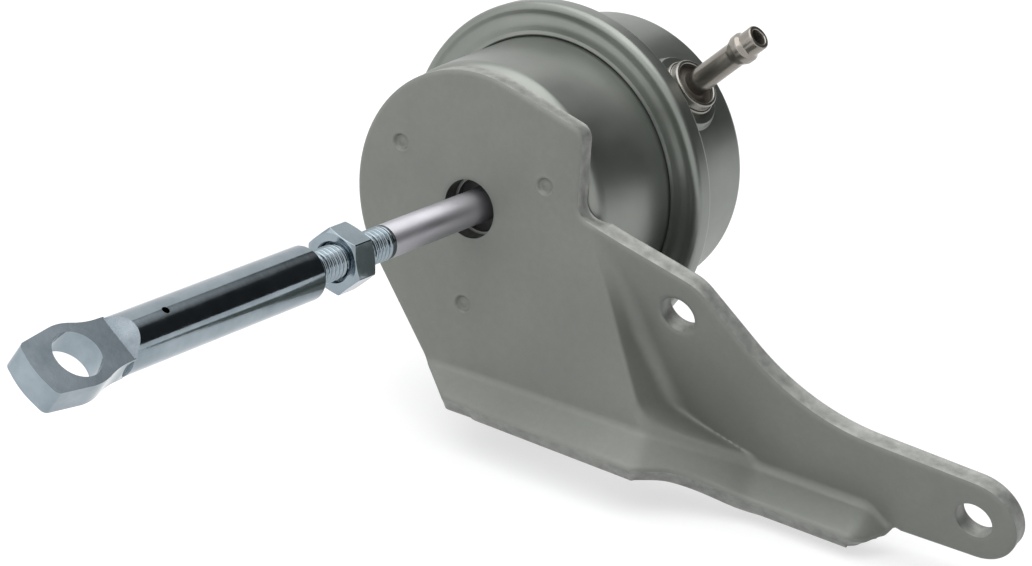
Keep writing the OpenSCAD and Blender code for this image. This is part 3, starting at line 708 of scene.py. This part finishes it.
def inward(path, outside):
    """For each point of a closed path the step in (s, t) a millimetre into the sheet, and its direction."""
    along = np.roll(path, -1, 0) - np.roll(path, 1, 0)
    x, y = path.T
    ds, dt = slopes(x, y)
    into = np.cross(sheet_normal(x, y), ds * along[:, 0:1] + dt * along[:, 1:2])
    into /= np.linalg.norm(into, axis=1, keepdims=True)
    g11, g12, g22 = (ds * ds).sum(1), (ds * dt).sum(1), (dt * dt).sum(1)
    r1, r2 = (ds * into).sum(1), (dt * into).sum(1)
    det = g11 * g22 - g12 * g12
    step = np.stack([(g22 * r1 - g12 * r2) / det, (g11 * r2 - g12 * r1) / det], 1)
    area = np.sum(x * np.roll(y, -1) - y * np.roll(x, -1))
    cross = along[:, 0] * step[:, 1] - along[:, 1] * step[:, 0]
    points_left = np.mean(np.sign(cross)) > 0
    inside_is_left = (area > 0) == outside
    return (step, into) if points_left == inside_is_left else (-step, -into)


def inside_of(points, path):
    x, y = points[:, 0:1], points[:, 1:2]
    ax, ay = path.T
    bx, by = np.roll(path, -1, 0).T
    rise = np.where(by == ay, 1e-12, by - ay)
    crosses = ((ay > y) != (by > y)) & (x < (bx - ax) * (y - ay) / rise + ax)
    return crosses.sum(1) % 2 == 1


def distance_to(points, path):
    out = np.full(len(points), 1e9)
    for p in path:
        out = np.minimum(out, np.hypot(points[:, 0] - p[0], points[:, 1] - p[1]))
    return out


# Rings of points along an edge by their distance from it, and how far the edge is rolled over
ROLL = (0.0, 0.08, 0.2, 0.38, 0.62, 0.95)
ROLL_DEPTH = 0.34
ROLL_CURVE = 2.2
HOLE_ROLL = 0.6
BACK_BEVEL = 0.12
# Rings down the cut edge: depth, and how far the torn lower part stands in
WALL_RINGS = ((0.75, -0.02), (1.3, 0.0), (1.6, 0.05), (2.4, 0.1), (SHEET - 0.22, 0.13))
# Rings of a weld dimple: share of its radius, and depth
WELD_RINGS = ((0.0, 0.34), (0.24, 0.42), (0.48, 0.5), (0.68, 0.56), (0.8, 0.5), (0.9, 0.28), (1.0, 0.02),
              (1.12, -0.09), (1.28, -0.05), (1.52, 0.0))
# Lines of points along the step's crease, by their distance from its start, and the spacing along each
CREASE_LINES = (-0.5, -0.12, 0.12, 0.36, 0.6, 0.84, 1.08, 1.5)
CREASE_SPACING = 0.5
# Bands of the grid: from, to and spacing
S_BANDS = ((-26, 14, 1.3), (14, 62, 0.5), (62, 112, 1.3))
T_BANDS = ((-30, 6, 1.3), (6, 23, 0.6), (23, EDGE_T, 0.33))
# Room that the grid leaves to edges, lines, holes and welds
EDGE_ROOM = 0.35
LINE_ROOM = 0.34
HOLE_ROOM = 1.25
WELD_ROOM = 1.72


class Net:
    """Points of the sheet in (s, t), their drops under the front and the back face, and fixed edges."""

    def __init__(self):
        self.points, self.front, self.back, self.edges = [], [], [], []

    def add(self, points, front=0.0, back=0.0):
        """Adds points, and gives the number of the first."""
        start = sum(len(p) for p in self.points)
        self.points.append(points)
        self.front.append(np.full(len(points), front))
        self.back.append(np.full(len(points), back))
        return start


def add_edge(net, path, outside, amount):
    """Rings along an outline or a hole, rolled over. Gives the edge's points and their inward directions."""
    step, into = inward(path, outside)
    index = np.arange(len(path))
    starts = []
    for ring in ROLL:
        roll = amount * ROLL_DEPTH * (1 - ring / ROLL[-1]) ** ROLL_CURVE
        starts.append(net.add(path + step * ring, roll, BACK_BEVEL * max(0.0, 1 - ring / ROLL[1])))
        net.edges += list(zip(starts[-1] + index, starts[-1] + np.roll(index, -1)))
    return starts[0] + index, into


def add_field(net, inner, holes, welds):
    """The weld dimples, the crease's lines and the grid between them."""
    for weld in welds:
        for share, drop in WELD_RINGS:
            net.add(circle(weld, share * WELD_R, 36 if share else 1), drop)
    lines = [np.concatenate([np.arange(*band) for band in bands]) for bands in (S_BANDS, T_BANDS)]
    grid = np.stack(np.meshgrid(*lines, indexing="ij"), -1).reshape(-1, 2)
    keep = inside_of(grid, inner) & (distance_to(grid, inner) > EDGE_ROOM)
    for hole in holes:
        middle = hole.mean(0)
        keep &= np.hypot(*(grid - middle).T) > np.hypot(*(hole - middle).T).max() + HOLE_ROOM
    for weld in welds:
        keep &= np.hypot(*(grid - weld).T) > WELD_ROOM * WELD_R
    down = np.arange(-2.0, EDGE_T - 0.8, CREASE_SPACING)
    for along in CREASE_LINES:
        line = np.stack([crease_place(down, along), down], 1)
        line = line[inside_of(line, inner) & (distance_to(line, inner) > 0.3)]
        start = net.add(line)
        joined = np.flatnonzero(np.diff(line[:, 1]) < CREASE_SPACING + 0.1)
        net.edges += [(start + k, start + k + 1) for k in joined]
        keep &= distance_to(grid, line) > LINE_ROOM
    net.add(grid[keep])


def triangles_of(flat, edges, outline, holes):
    """Triangles between the points that lie inside the outline and outside the holes."""
    edges = [(int(a), int(b)) for a, b in edges]
    result = delaunay_2d_cdt([Vector(p) for p in flat], edges, [], 0, 1e-5)
    mapped = {i: sources[0] for i, sources in enumerate(result[3]) if sources}
    triangles = np.array([[mapped.get(i, -1) for i in f] for f in result[2] if len(f) == 3])
    triangles = triangles[(triangles >= 0).all(1)]
    middle = flat[triangles].mean(1)
    keep = inside_of(middle, outline)
    for hole in holes:
        keep &= ~inside_of(middle, hole)
    return triangles[keep]


def make_bracket():
    outline = resampled(bracket_outline(), 0.55)
    holes = [find(circle(centre, r, 96), on_arm) for centre, r, on_arm in
             (((0, 0), ROD_HOLE_R, False), (NEAR, BOLT_HOLE_R, True), (FAR, BOLT_HOLE_R, True))]
    angles = np.radians(WELD_ANGLES)
    welds = find(WELD_CIRCLE_R * np.stack([-np.cos(angles), np.sin(angles)], 1), False)
    net = Net()
    walls = [(*add_edge(net, outline, True, 1.0), BRACKET_CUT)]
    inner = net.points[-1]
    # The rod hole's wall takes the darker cut steel, which is painted shade; the bolt holes take the plain
    # cut steel
    for hole, look in zip(holes, (BRACKET_BORE_PAINTED_SHADE, BRACKET_CUT, BRACKET_CUT)):
        walls.append((*add_edge(net, hole, False, HOLE_ROLL), look))
    add_field(net, inner, holes, welds)
    flat = np.concatenate(net.points)
    triangles = triangles_of(flat, net.edges, outline, holes)
    s, t = flat.T
    front, normal = surface(s, t), sheet_normal(s, t)
    depth = SHEET - np.concatenate(net.back)
    back = surface(s, t, True) + sheet_normal(s, t, True) * depth[:, None]
    a, b, c = (front[triangles[:, i]] for i in range(3))
    facing = (np.cross(b - a, c - a) * normal[triangles[:, 0]]).sum(1) < 0
    forward = np.where(facing[:, None], triangles, triangles[:, ::-1])
    verts = [front + normal * np.concatenate(net.front)[:, None], back]
    faces = forward.tolist() + (forward[:, ::-1] + len(flat)).tolist()
    looks = [BRACKET, BRACKET_CUT, BRACKET_BORE_PAINTED_SHADE]
    indices = [0] * len(faces)
    count = 2 * len(flat)
    for own, into, look in walls:
        through = (back[own] - front[own]) / SHEET
        verts += [front[own] + through * h + into * inset for h, inset in WALL_RINGS]
        middle = count + np.arange(len(WALL_RINGS) * len(own))
        count += len(middle)
        rings = np.concatenate([own, middle, own + len(flat)])
        wall = rings[grid_faces(len(WALL_RINGS) + 2, len(own))]
        faces += wall.tolist()
        indices += [looks.index(look)] * len(wall)
    piece = new_mesh("bracket_sheet", np.concatenate(verts), faces, looks, indices)
    return finish_piece(settle(piece, 50, join=None), "can", "bracket_steel", "bracket")


make_bracket()


# Can

FLANGE_R = RIM_R - SHELL_WALL - SEAM
SHELL_HOLE_R = GUIDE_R - 0.8
EDGE_R = 0.1
FLANGE_BEND_R = 0.6


def front_shell_profile():
    return rounded([
        (SHELL_HOLE_R, CAN_FRONT, EDGE_R), (FRONT_R, CAN_FRONT, FRONT_CORNER_R),
        (FRONT_BACK_R, FLANGE_FRONT, FLANGE_BEND_R), (FLANGE_R, FLANGE_FRONT, EDGE_R),
        (FLANGE_R, FLANGE_BACK, EDGE_R), (FRONT_BACK_R - SHELL_WALL, FLANGE_BACK, FLANGE_BEND_R),
        (FRONT_R - SHELL_WALL, INNER_FRONT, FRONT_CORNER_R - SHELL_WALL),
        (SHELL_HOLE_R, INNER_FRONT, EDGE_R)], step=0.2)


finish_piece(turned_piece("front_shell_drawn", front_shell_profile(), 256, SHELL),
             "can", "shell_steel", "front_shell")


# The rolled rim's front: share of its land outward, height over the roll's front, and corner radius
RIM_RIDGES = ((0.16, 0.12, 0.8), (0.36, -0.02, 3.0), (0.62, 0.32, 1.6), (0.78, -0.05, 0.7))
ROLL_EDGE = 0.34


def rear_shell_profile():
    edge = FRONT_BACK_R + 0.02
    inner_r = REAR_R - SHELL_WALL
    inner_rim = RIM_R - SHELL_WALL
    inner_back = CAN_BACK - SHELL_WALL
    ridges = [(edge + share * (RIM_R - edge), RIM_FRONT + height, r) for share, height, r in RIM_RIDGES]
    return rounded([
        (edge, FLANGE_FRONT, 0), (edge, RIM_FRONT + ROLL_EDGE, 0.08),
        (edge + ROLL_EDGE, RIM_FRONT - 0.05, 0.14), *ridges, (RIM_R, RIM_FRONT - 0.1, 1.2),
        (RIM_R, RIM_BACK, 1.0), (REAR_R, RIM_BACK, 1.2), (REAR_R, CAN_BACK, REAR_CORNER_R),
        (0.4, CAN_BACK, 0), (0, CAN_BACK, 0), (0, inner_back, 0), (inner_r, inner_back, 0.6),
        (inner_r, CLAMP_BACK, 0.3), (inner_rim, CLAMP_BACK, 0.3), (inner_rim, FLANGE_FRONT, 0.3)], step=0.15)


AT_NIPPLE = radial(NIPPLE_X, NIPPLE_ANGLE)


def pad_points():
    """The flat pad under the nipple, pressed into the rear shell's wall."""
    radii = np.concatenate([np.linspace(2.3, PAD_R - 0.5, 8), np.linspace(PAD_R - 0.4, PAD_R + 0.6, 11)])
    r, a = np.meshgrid(radii, around(96), indexing="ij")
    along, side = r * np.cos(a), r * np.sin(a)
    wall = np.sqrt(REAR_R ** 2 - side ** 2) - 0.03
    height = PAD_TOP + (wall - PAD_TOP) * ease((r - (PAD_R - 0.35)) / 0.8)
    return AT_NIPPLE(np.stack([height, along, side], -1).reshape(-1, 3)), len(radii)


def make_rear_shell():
    points, faces = turned(rear_shell_profile(), 256)
    pad, rings = pad_points()
    pad_faces = grid_faces(rings, len(pad) // rings) + len(points)
    piece = new_mesh("rear_shell_drawn", [*points, *pad], [*faces, *pad_faces], [SHELL])
    return finish_piece(settle(piece, TURNED_SHARP), "can", "shell_steel", "rear_shell")


make_rear_shell()


# Hose nipple

CUP_WALL = 0.8
CUP_FLOOR = PAD_TOP + 0.45 * COLLAR_H
TUBE_HOLE_R = NIPPLE_R + SEAM


def nipple_profile():
    foot = REAR_R - 0.8 * SHELL_WALL
    bead = NIPPLE_TIP - BEAD_FROM_TIP
    end_r = NIPPLE_R + 0.04
    return rounded([
        (NIPPLE_BORE_R, foot, 0), (NIPPLE_R, foot, 0), (NIPPLE_R, bead - 2.0, 3.0), (BEAD_R, bead - 0.6, 0.6),
        (BEAD_R, bead + 0.6, 0.5), (end_r, bead + 1.3, 0.7), (end_r, NIPPLE_TIP, 0.35),
        (NIPPLE_BORE_R + 0.12, NIPPLE_TIP, 0.25), (NIPPLE_BORE_R, NIPPLE_TIP - 0.6, 0.3)], step=0.08)


def collar_profile():
    top = PAD_TOP + COLLAR_H
    cup = COLLAR_NECK_R - CUP_WALL
    return rounded([
        (TUBE_HOLE_R, PAD_TOP, 0), (COLLAR_FOOT_R, PAD_TOP, 0.1), (COLLAR_FOOT_R, CUP_FLOOR, 0.35),
        (COLLAR_NECK_R, CUP_FLOOR, 0.12), (COLLAR_NECK_R, top, 0.4), (cup, top, 0.3), (cup, CUP_FLOOR, 0.5),
        (TUBE_HOLE_R, CUP_FLOOR, 0)], step=0.06)


def braze_profile():
    cup = COLLAR_NECK_R - CUP_WALL - SEAM
    return rounded([
        (TUBE_HOLE_R, CUP_FLOOR, 0), (cup, CUP_FLOOR, 0), (cup, CUP_FLOOR + 0.55, 0),
        (NIPPLE_R + 0.9, CUP_FLOOR + 0.3, 1.5), (TUBE_HOLE_R, CUP_FLOOR + 1.0, 0)], step=0.08)


for name, profile, look, slot, node in (
        ("nipple_tube", nipple_profile(), TUBE, "nipple_steel", "hose_nipple"),
        ("collar_cup", collar_profile(), COLLAR, "nipple_steel", "nipple_collar"),
        ("braze_fillet", braze_profile(), BRAZE, "braze", "braze_ring")):
    finish_piece(turned_piece(name, profile, 96, look, AT_NIPPLE), "can", slot, node)


# Rod, lock nut and rod end

ROD_SEGMENTS = 64
NECK_R = ROD_R - 0.5
HEAD_R = ROD_R + 0.8
HEAD_CHAMFER = 0.6
THREAD_DEPTH = 0.52
THREAD_END = -BARREL_NEAR - 2


def make_rod():
    """The plain bar, and in front of it the rolled thread as a fine helical grid."""
    angles = around(ROD_SEGMENTS)

    def ring(r, x):
        return np.stack([np.full(ROD_SEGMENTS, x), r * np.cos(angles), r * np.sin(angles)], 1)

    plain = [(0, HEAD_BACK), (HEAD_R - HEAD_CHAMFER, HEAD_BACK), (HEAD_R, HEAD_BACK - HEAD_CHAMFER),
             (HEAD_R, HEAD_FRONT), (NECK_R, HEAD_FRONT), (NECK_R, SHOULDER_X), (ROD_R, SHOULDER_X),
             (ROD_R, THREAD_START + 0.02)]
    rings = [ring(r, x) for r, x in plain]
    for x in [*np.arange(THREAD_START, THREAD_END, -0.1), *np.arange(THREAD_END, 0.6 - ROD_REACH, -2.0)]:
        # The first turns run out into the plain bar, and inside the rod end the bar stays plain.
        runout = np.clip((THREAD_START - x - 0.7) / 0.8, 0, 1)
        depth = THREAD_DEPTH * runout if x > THREAD_END else 0.0
        phase = (x / PITCH - angles / (2 * pi)) % 1.0
        crest = ease((np.abs(phase - 0.5) * 2 - 0.08) / 0.8)
        rings.append(ring(ROD_R - 0.02 - depth * (1 - crest), x))
    rings += [ring(ROD_R - 0.6, -ROD_REACH), ring(0, -ROD_REACH)]
    faces = grid_faces(len(rings), ROD_SEGMENTS)
    indices = (faces[:, 0] >= len(plain) * ROD_SEGMENTS).astype(int).tolist()
    piece = settle(new_mesh("rod_bar", np.concatenate(rings), faces, [BAR, ZINC], indices), 45)
    return finish_piece(piece, "push_rod", "rod_steel", "rod")


make_rod()

NUT_EDGE_R = 0.22
NUT_CHAMFER = radians(28)
NUT_BORE_R = ROD_R + RUNNING_GAP
NUT_SINK = 0.45
SOFT = 0.015


def make_nut():
    """A hexagon nut with turned chamfers and a countersunk bore, as one structured grid."""
    corner_r = NUT_AF / 2 / cos(pi / 6)
    corners = [(*corner, NUT_EDGE_R) for corner in circle((0, 0), corner_r, 6)]
    outline = resampled(rounded(corners, step=0.06), 0.22)
    radius = np.hypot(*outline.T)
    y, z = (outline / radius[:, None]).T
    face_r = NUT_AF / 2 - 0.12
    chamfer = np.maximum(0.0, radius - face_r) * tan(NUT_CHAMFER)
    face_edge = np.minimum(radius - 0.02, face_r)
    sink_r = NUT_BORE_R + NUT_SINK
    # Radius and depth under the nut's face, from the bore outward
    side = [(NUT_BORE_R, 0.5), (sink_r, 2 * SOFT), (sink_r + 4 * SOFT, 0), (face_edge - 10 * SOFT, 0),
            (face_edge, SOFT), ((face_edge + radius) / 2, chamfer / 2 + 0.01), (radius - 0.05, chamfer),
            (radius, chamfer + 0.07)]
    half = NUT_H / 2
    rows = [(r, depth - half) for r, depth in side] + [(radius, 0)]
    rows += [(r, half - depth) for r, depth in side[::-1]]
    # The hexagon's turn about the rod is the one in the part's source.
    turn = radians(NUT_TURN)
    across = y * sin(turn) + z * cos(turn)
    up = z * sin(turn) - y * cos(turn)
    shift = half - NUT_FRONT + 0 * y
    points = np.concatenate([np.stack([x + shift, r * across, r * up], 1) for r, x in rows])
    piece = new_mesh("nut_hex", points, grid_faces(len(rows), len(outline), close_rows=True), [ZINC])
    return finish_piece(settle(piece, 22, join=None), "nut", "zinc", "lock_nut")


make_nut()


def prism(outline, low, high, move):
    """Points and faces of a closed prism from an (x, y) outline, between two heights, placed by move."""
    count = len(outline)
    points = np.concatenate([np.column_stack([outline, np.full(count, h)]) for h in (low, high)])
    faces = [tuple(range(count)), tuple(range(2 * count - 1, count - 1, -1))]
    faces += [(i, i + count, (i + 1) % count + count, (i + 1) % count) for i in range(count)]
    return move(points), faces


def combine(piece, other, operation):
    """Applies an exact boolean of piece with other, and removes other."""
    modifier = piece.modifiers.new("cut", "BOOLEAN")
    modifier.operation = operation
    modifier.solver = "EXACT"
    modifier.object = other
    graph = bpy.context.evaluated_depsgraph_get()
    mesh = bpy.data.meshes.new_from_object(piece.evaluated_get(graph))
    piece.modifiers.clear()
    old = piece.data
    piece.data = mesh
    bpy.data.meshes.remove(old)
    bpy.data.objects.remove(other)


def cutter(name, points, faces):
    """A shape without a material, cleaned for a boolean."""
    return settle(new_mesh(name, points, faces, []), join=CUT_JOIN, dissolve=True)


# Shares of the barrel's radius: where the milled ramp ends, and where the eye's sides start and how wide
RAMP_AT = 1.85
NECK_AT = 1.9
NECK_W = 0.9
# The eye's outline: how far its sides are straight, and the corner radii from the neck to the nose
SIDE_FROM = 5
SIDE_TO = 0.6
NECK_EASE_R = 14
SIDE_EASE_R = 9
NOSE_CORNER = 0.9
NOSE_TAPER = 1.15
NOSE_CORNER_R = 1.2
NOSE_R = 13
BORE_END = 3
SINK_R = ROD_R + 0.7
BEVEL_EDGE = 0.16


def eye_outline():
    neck_w = NECK_W * BARREL_R
    nose = -EYE_REACH - EYE_NOSE
    side = [(NECK_AT * BARREL_R - EYE_REACH, neck_w, 0),
            (SIDE_FROM - EYE_REACH, 1.04 * neck_w, NECK_EASE_R),
            (SIDE_TO - EYE_REACH, EYE_HALF_W, SIDE_EASE_R),
            (nose + NOSE_CORNER, EYE_HALF_W - NOSE_TAPER, NOSE_CORNER_R)]
    return rounded(side + [(nose, 0, NOSE_R)] + [(x, -y, r) for x, y, r in side[::-1]], step=0.35)


def make_rod_end():
    """The barrel milled down on two sides, with the flattened eye, its hole and the sight hole."""
    turn = radians(EYE_ANGLE)
    thick = np.array([0.0, -cos(turn), sin(turn)])
    wide = np.array([0.0, sin(turn), cos(turn)])

    def flat_side(points):
        return points[:, 0:1] * ALONG + points[:, 1:2] * wide + points[:, 2:3] * thick

    def edge_side(points):
        return points[:, 0:1] * ALONG + points[:, 1:2] * thick + points[:, 2:3] * wide

    flat, far = EYE_T / 2, 2 * BARREL_R
    ramp_end = RAMP_AT * BARREL_R - EYE_REACH
    ramp_start = ramp_end + BARREL_R - flat
    barrel = cutter("rod_end_forged", *turned(rounded([
        (0.0, ramp_end, 0), (BARREL_R, ramp_end, 0), (BARREL_R, -BARREL_NEAR, 0.5), (0.0, -BARREL_NEAR, 0)],
        step=0.1), 96))
    side = [(ramp_end - 0.5, flat), (ramp_end, flat), (ramp_start, BARREL_R), (ramp_start, BARREL_R + 1),
            (1 - BARREL_NEAR, BARREL_R + 1)]
    mill = [(x, -y) for x, y in side] + side[::-1]
    bore_r = ROD_R + RUNNING_GAP
    bore_end = SIGHT_BACK - BORE_END - EYE_REACH
    bore = [(0.0, bore_end), (bore_r, bore_end), (bore_r, -BARREL_NEAR - 0.6), (SINK_R, 0.04 - BARREL_NEAR),
            (SINK_R, 1 - BARREL_NEAR), (0.0, 1 - BARREL_NEAR)]
    sight = [(0.0, 2.0), (SIGHT_R, 2.0), (SIGHT_R, far), (0.0, far)]
    for name, shape, operation in (
            ("side_cut", prism(mill, -far, far, edge_side), "INTERSECT"),
            ("paddle", prism(eye_outline(), -flat, flat, flat_side), "UNION"),
            ("hole", prism(circle((-EYE_REACH, 0), EYE_HOLE_R, 96), -far, far, flat_side), "DIFFERENCE"),
            ("bore", turned(bore, 72), "DIFFERENCE"),
            ("sight_hole", turned(sight, 32, radial(SIGHT_BACK - EYE_REACH, SIGHT_ANGLE)), "DIFFERENCE")):
        combine(barrel, cutter(name, *shape), operation)
    for material in (ZINC, MILLED):
        barrel.data.materials.append(material)
    settle(barrel, join=CUT_JOIN, dissolve=True)
    low_x, high_x = ((x - ORIGIN[0]) * MM for x in (ramp_end, ramp_start))
    for face in barrel.data.polygons:
        sloping = 0.5 < abs(face.normal @ Vector(thick)) < 0.95 and face.normal.x < -0.5
        face.material_index = int(sloping and low_x - 1e-5 < face.center.x < high_x + 1e-5)
    barrel.data.shade_smooth()
    bevel = barrel.modifiers.new("soft_edges", "BEVEL")
    bevel.width = BEVEL_EDGE * MM
    bevel.segments = 3
    bevel.limit_method = "ANGLE"
    bevel.angle_limit = radians(32)
    barrel.modifiers.new("even_normals", "WEIGHTED_NORMAL").keep_sharp = True
    return finish_piece(barrel, "eye_end", "zinc", "rod_end")


make_rod_end()


# Inside the can

def squash(piece, anchor_x):
    """Gives a soft piece its own copy of its mesh. The point at its fixed end is worked out but not used."""
    tuple(place([[anchor_x, 0, 0]])[0])
    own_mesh(piece)


WIRE_SIDES = 16
WIRE_SHARP = 50
TURN_STEPS = 48


def make_spring():
    """Round wire on a helix, with a closed turn at each end."""
    start = SPRING_FRONT + WIRE_R + SEAM
    end = PISTON_BACK - PISTON_WALL - WIRE_R - SEAM
    closed = 2 * WIRE_R + SEAM
    pitch = (end - start - 2 * closed) / (SPRING_TURNS - 2)
    turns = np.linspace(0, SPRING_TURNS, SPRING_TURNS * TURN_STEPS + 1)[:, None]
    x = np.where(turns < 1, start + closed * turns,
                 np.where(turns < SPRING_TURNS - 1, start + closed + pitch * (turns - 1),
                          end - closed * (SPRING_TURNS - turns)))
    ring = around(WIRE_SIDES)
    angle = 2 * pi * turns
    r = SPRING_R + WIRE_R * np.cos(ring)
    points = np.stack([x + WIRE_R * np.sin(ring), r * np.cos(angle), r * np.sin(angle)], -1).reshape(-1, 3)
    last = len(points) - WIRE_SIDES
    ends = [tuple(range(WIRE_SIDES - 1, -1, -1)), tuple(range(last, len(points)))]
    piece = new_mesh("spring_wire", points, grid_faces(len(turns), WIRE_SIDES).tolist() + ends, [SPRING])
    piece.data.set_sharp_from_angle(angle=radians(WIRE_SHARP))
    finish_piece(piece, "can", "spring_steel", "return_spring")
    squash(piece, SPRING_FRONT)


make_spring()


def make_diaphragm():
    """The moulded hat: clamped edge, rolling wall and flat crown."""
    hole_r = ROD_R - 0.45
    wall_out = REAR_R - SHELL_WALL - 0.5
    crown_out = PISTON_R + RUBBER + 0.6
    crown_back = PISTON_BACK + RUBBER
    profile = rounded([
        (hole_r, PISTON_BACK, 0), (crown_out - RUBBER, PISTON_BACK, 1.2),
        (wall_out - RUBBER, FLANGE_BACK, 0.4), (FLANGE_R, FLANGE_BACK, 0.2), (FLANGE_R, CLAMP_BACK, 0.2),
        (wall_out, CLAMP_BACK, 0.8), (crown_out, crown_back, 1.6), (hole_r, crown_back, 0)], step=0.2)
    piece = turned_piece("diaphragm_hat", profile, 128, RUBBER_LOOK)
    finish_piece(piece, "can", "rubber", "diaphragm")
    squash(piece, CLAMP_BACK)


make_diaphragm()

for node in ("piston_cup", "retainer_plate", "shoulder_washer", "rivet_washer", "spring_seat", "guide_cage",
             "guide_ring"):
    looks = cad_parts[node].data.materials
    looks.clear()
    looks.append(GUIDE if node == "guide_ring" else INNER)


# Floor, light and camera

FLOOR_COLOUR = (0.42, 0.42, 0.42, 1)
FLOOR_GLOW = 0.6
FLOOR_SIZE = 6
FLOOR_GAP = 0.0005
CARD_COLOUR = (0.03, 0.03, 0.032, 1)
CARD_R = 1.5
CARD_FROM = -112
CARD_TO = 18
CARD_LOW = 0.07
CARD_TOP = 1.95
CARD_FADE = 1.35
STUDIO_LEVELS = ((0.0, 0.6), (0.5, 0.62), (0.75, 0.82), (1.0, 1.0))
STUDIO_TINT = np.array([1.0, 1.01, 1.03])


def make_floor():
    """White where it is seen, also in the metal, and a plain pale floor for the light that it sends back."""
    low = min(corner[2] for corner in cad_box)
    bpy.ops.mesh.primitive_plane_add(size=FLOOR_SIZE, location=(0.05, 0, low - FLOOR_GAP))
    floor = bpy.context.object
    floor.name = "floor"
    m = Look("floor_white", 0.0, 0.9)
    glow = m.node("Emission", (1, 1, 1, 1), FLOOR_GLOW).outputs[0]
    dark = m.node("Emission", Strength=0.0).outputs[0]
    both = m.node("AddShader", m.shader.outputs[0], m.blend(m.seen_directly(), dark, glow)).outputs[0]
    floor.data.materials.append(m.finish(FLOOR_COLOUR, surface=both))


make_floor()


def make_dark_card():
    """A dark card round the right and the back, seen in the metal only. It fades out toward its top."""
    angles = np.radians(np.linspace(CARD_FROM, CARD_TO, 49))
    rows = np.linspace(CARD_LOW, CARD_TOP, 3)
    points = [(CARD_R * cos(a), CARD_R * sin(a), z) for z in rows for a in angles]
    m = Look("card_dark", 0.0, 0.9)
    height = m.node("SeparateXYZ", m.node("NewGeometry").outputs["Position"]).outputs["Z"]
    clear = m.node("BsdfTransparent").outputs[0]
    fading = m.blend(m.span(height, CARD_FADE, CARD_TOP, 0, 1), m.shader.outputs[0], clear)
    data = bpy.data.meshes.new("dark_card")
    data.from_pydata(points, [], grid_faces(len(rows), len(angles), close_columns=False).tolist())
    data.materials.append(m.finish(CARD_COLOUR, surface=fading))
    card = bpy.data.objects.new("dark_card", data)
    bpy.context.scene.collection.objects.link(card)
    card.visible_camera = False


make_dark_card()


def make_world():
    """White behind the object and in its metal, and a plain studio, brighter above, for diffuse light."""
    world = bpy.data.worlds.new("studio")
    bpy.context.scene.world = world
    world.use_nodes = True
    w = Tree(world.node_tree)
    height = w.node("SeparateXYZ", w.node("TexCoord").outputs["Generated"]).outputs["Z"]
    stops = [(at, level * STUDIO_TINT) for at, level in STUDIO_LEVELS]
    studio = w.node("Background", w.ramp(w.span(height, -1, 1, 0, 1), stops)).outputs[0]
    white = w.node("Background", (1, 1, 1, 1)).outputs[0]
    w.node("OutputWorld", Surface=w.blend(w.seen_directly(), studio, white))


make_world()


def area_light(name, at, size, power):
    """A soft square lamp that shines at the part's origin."""
    data = bpy.data.lights.new(name, "AREA")
    data.size = size
    data.energy = power
    lamp = bpy.data.objects.new(name, data)
    bpy.context.scene.collection.objects.link(lamp)
    lamp.location = at
    lamp.rotation_euler = (-Vector(at)).to_track_quat("-Z", "Y").to_euler()


area_light("top_soft", (-0.1, 0.1, 0.9), 1.2, 6.5)
area_light("left_soft", (-0.8, 0.4, 0.5), 0.9, 1.4)

# The photo's view, in the rod's frame, and its focal length in pixels of a photo this wide
PHOTO_WIDTH = 1032
FOCAL_LENGTH = 2827.788
VIEW_FROM = (-372.457821, -268.802729, 162.021979)
VIEW_FORWARD = Vector((0.768354, 0.53184, -0.356059))
VIEW_RIGHT = Vector((0.587602, -0.806689, 0.063071))
VIEW_UP = Vector((0.253685, 0.257682, 0.932332))


def make_camera():
    data = bpy.data.cameras.new("view")
    data.sensor_width = 36
    data.lens = FOCAL_LENGTH * data.sensor_width / PHOTO_WIDTH
    data.clip_start = 0.01
    data.clip_end = 20
    camera = bpy.data.objects.new("view", data)
    bpy.context.scene.collection.objects.link(camera)
    rows = Matrix((VIEW_RIGHT, VIEW_UP, -VIEW_FORWARD)).transposed()
    camera.matrix_world = Matrix.Translation(Vector(place([VIEW_FROM])[0])) @ rows.to_4x4()
    bpy.context.scene.camera = camera


make_camera()
bpy.context.scene.view_settings.view_transform = "Standard"
